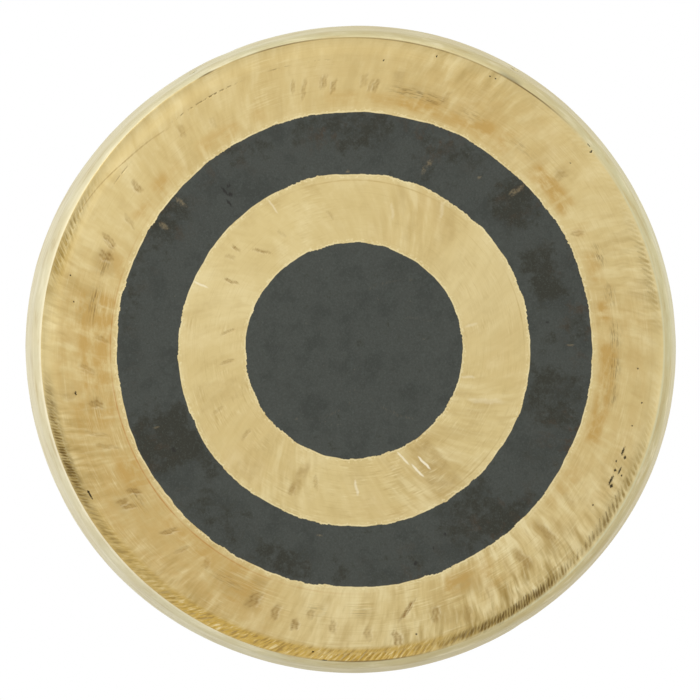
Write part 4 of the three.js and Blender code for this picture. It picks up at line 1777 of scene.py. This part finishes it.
def light_world(scene):
    """White behind the gong and a little dimmer towards the lower right of the camera's side."""
    world = bpy.data.worlds.new("studio")
    scene.world = world
    world.use_nodes = True
    nodes = world.node_tree.nodes
    nodes.clear()
    w = Wiring(world.node_tree)
    x, y, z = w.separate(w.add("ShaderNodeTexCoord", output="Generated"))
    towards_key = w.plus(w.times(x, -0.7), w.times(z, 0.7))
    camera_side = w.smooth(towards_key, -0.9, 0.6, 0.78, 1.08)
    level = w.blend(w.smooth(y, 0.15, -0.45), 1.0, camera_side)
    path = nodes.new("ShaderNodeLightPath").outputs
    seen = w.largest(path["Is Camera Ray"], path["Is Glossy Ray"], path["Is Transmission Ray"])
    strength = w.blend(seen, w.times(level, 0.9), level)
    background = w.add("ShaderNodeBackground", {"Color": (1, 1, 1, 1), "Strength": strength})
    output = nodes.new("ShaderNodeOutputWorld")
    w.join(background, output.inputs["Surface"])


LAMPS = (
    ("key", (-2.3, -3.0, 1.6), (1.6, 1.6), 16.0),
    ("top", (0.4, -2.6, 3.0), (2.2, 1.4), 12.0),
)


def add_lamps():
    for name, place, size, power in LAMPS:
        deselect()
        bpy.ops.object.light_add(type="AREA", location=place)
        lamp = bpy.context.object
        lamp.name = f"lamp_{name}"
        lamp.data.shape = "RECTANGLE"
        lamp.data.size, lamp.data.size_y = size
        lamp.data.energy = power
        lamp.rotation_euler = (-Vector(place)).to_track_quat("-Z", "Y").to_euler()


def add_camera(studio):
    deselect()
    azimuth, elevation = studio.camera_azimuth, studio.camera_elevation
    direction = Vector(
        (
            math.sin(azimuth) * math.cos(elevation),
            -math.cos(azimuth) * math.cos(elevation),
            math.sin(elevation),
        )
    )
    facing = (-direction).to_track_quat("-Z", "Y")
    aim = facing @ Vector((studio.aim_right, studio.aim_up, 0))
    bpy.ops.object.camera_add(location=aim + direction * studio.camera_distance)
    camera = bpy.context.object
    camera.name = "photo_camera"
    camera.rotation_euler = facing.to_euler()
    camera.data.sensor_width = SENSOR / MM
    camera.data.lens = SENSOR / MM * studio.camera_distance / (studio.pixel_size * IMAGE_PIXELS)
    bpy.context.scene.camera = camera


class GONG_OT_stage(bpy.types.Operator):
    """Adds the floor, the soft lamps, the backdrop's light and the camera"""

    bl_idname = "gong.stage"
    bl_label = "Set the stage"

    def execute(self, context):
        scene = context.scene
        studio = scene.gong_studio
        deselect()
        bpy.ops.mesh.primitive_circle_add(
            vertices=128, radius=studio.floor_radius, fill_type="NGON", location=(0, 0, -studio.floor_drop)
        )
        floor = context.object
        floor.name = "stage_floor"
        bpy.ops.object.transform_apply(location=True, rotation=True, scale=True)
        floor.data.materials.append(floor_material(studio.floor_radius))
        light_world(scene)
        add_lamps()
        add_camera(studio)
        scene.view_settings.view_transform = "Standard"
        return {"FINISHED"}


class GONG_PT_workshop(bpy.types.Panel):
    """Makes the gong and its stage, from the sizes and colours below"""

    bl_idname = "GONG_PT_workshop"
    bl_label = "Gong"
    bl_space_type = "VIEW_3D"
    bl_region_type = "UI"
    bl_category = "Gong"

    def draw(self, context):
        layout = self.layout
        for operator in (GONG_OT_stage, GONG_OT_forge):
            layout.operator(operator.bl_idname)
        for title, settings in (
            ("Sizes", context.scene.gong_sizes),
            ("Hammering", context.scene.gong_hammering),
            ("Colours", context.scene.gong_colours),
            ("Studio", context.scene.gong_studio),
        ):
            box = layout.box()
            box.label(text=title)
            for name in settings.__annotations__:
                box.prop(settings, name)


SETTINGS = {
    "gong_sizes": GongSizes,
    "gong_hammering": GongHammering,
    "gong_colours": GongColours,
    "gong_studio": GongStudio,
}
CLASSES = (*SETTINGS.values(), GONG_OT_stage, GONG_OT_forge, GONG_PT_workshop)


def register():
    for cls in CLASSES:
        bpy.utils.register_class(cls)
    for name, cls in SETTINGS.items():
        setattr(bpy.types.Scene, name, bpy.props.PointerProperty(type=cls))


def unregister():
    for name in SETTINGS:
        delattr(bpy.types.Scene, name)
    for cls in reversed(CLASSES):
        bpy.utils.unregister_class(cls)


def main():
    register()
    bpy.ops.gong.stage()
    bpy.ops.gong.forge()


if __name__ == "__main__":
    main()
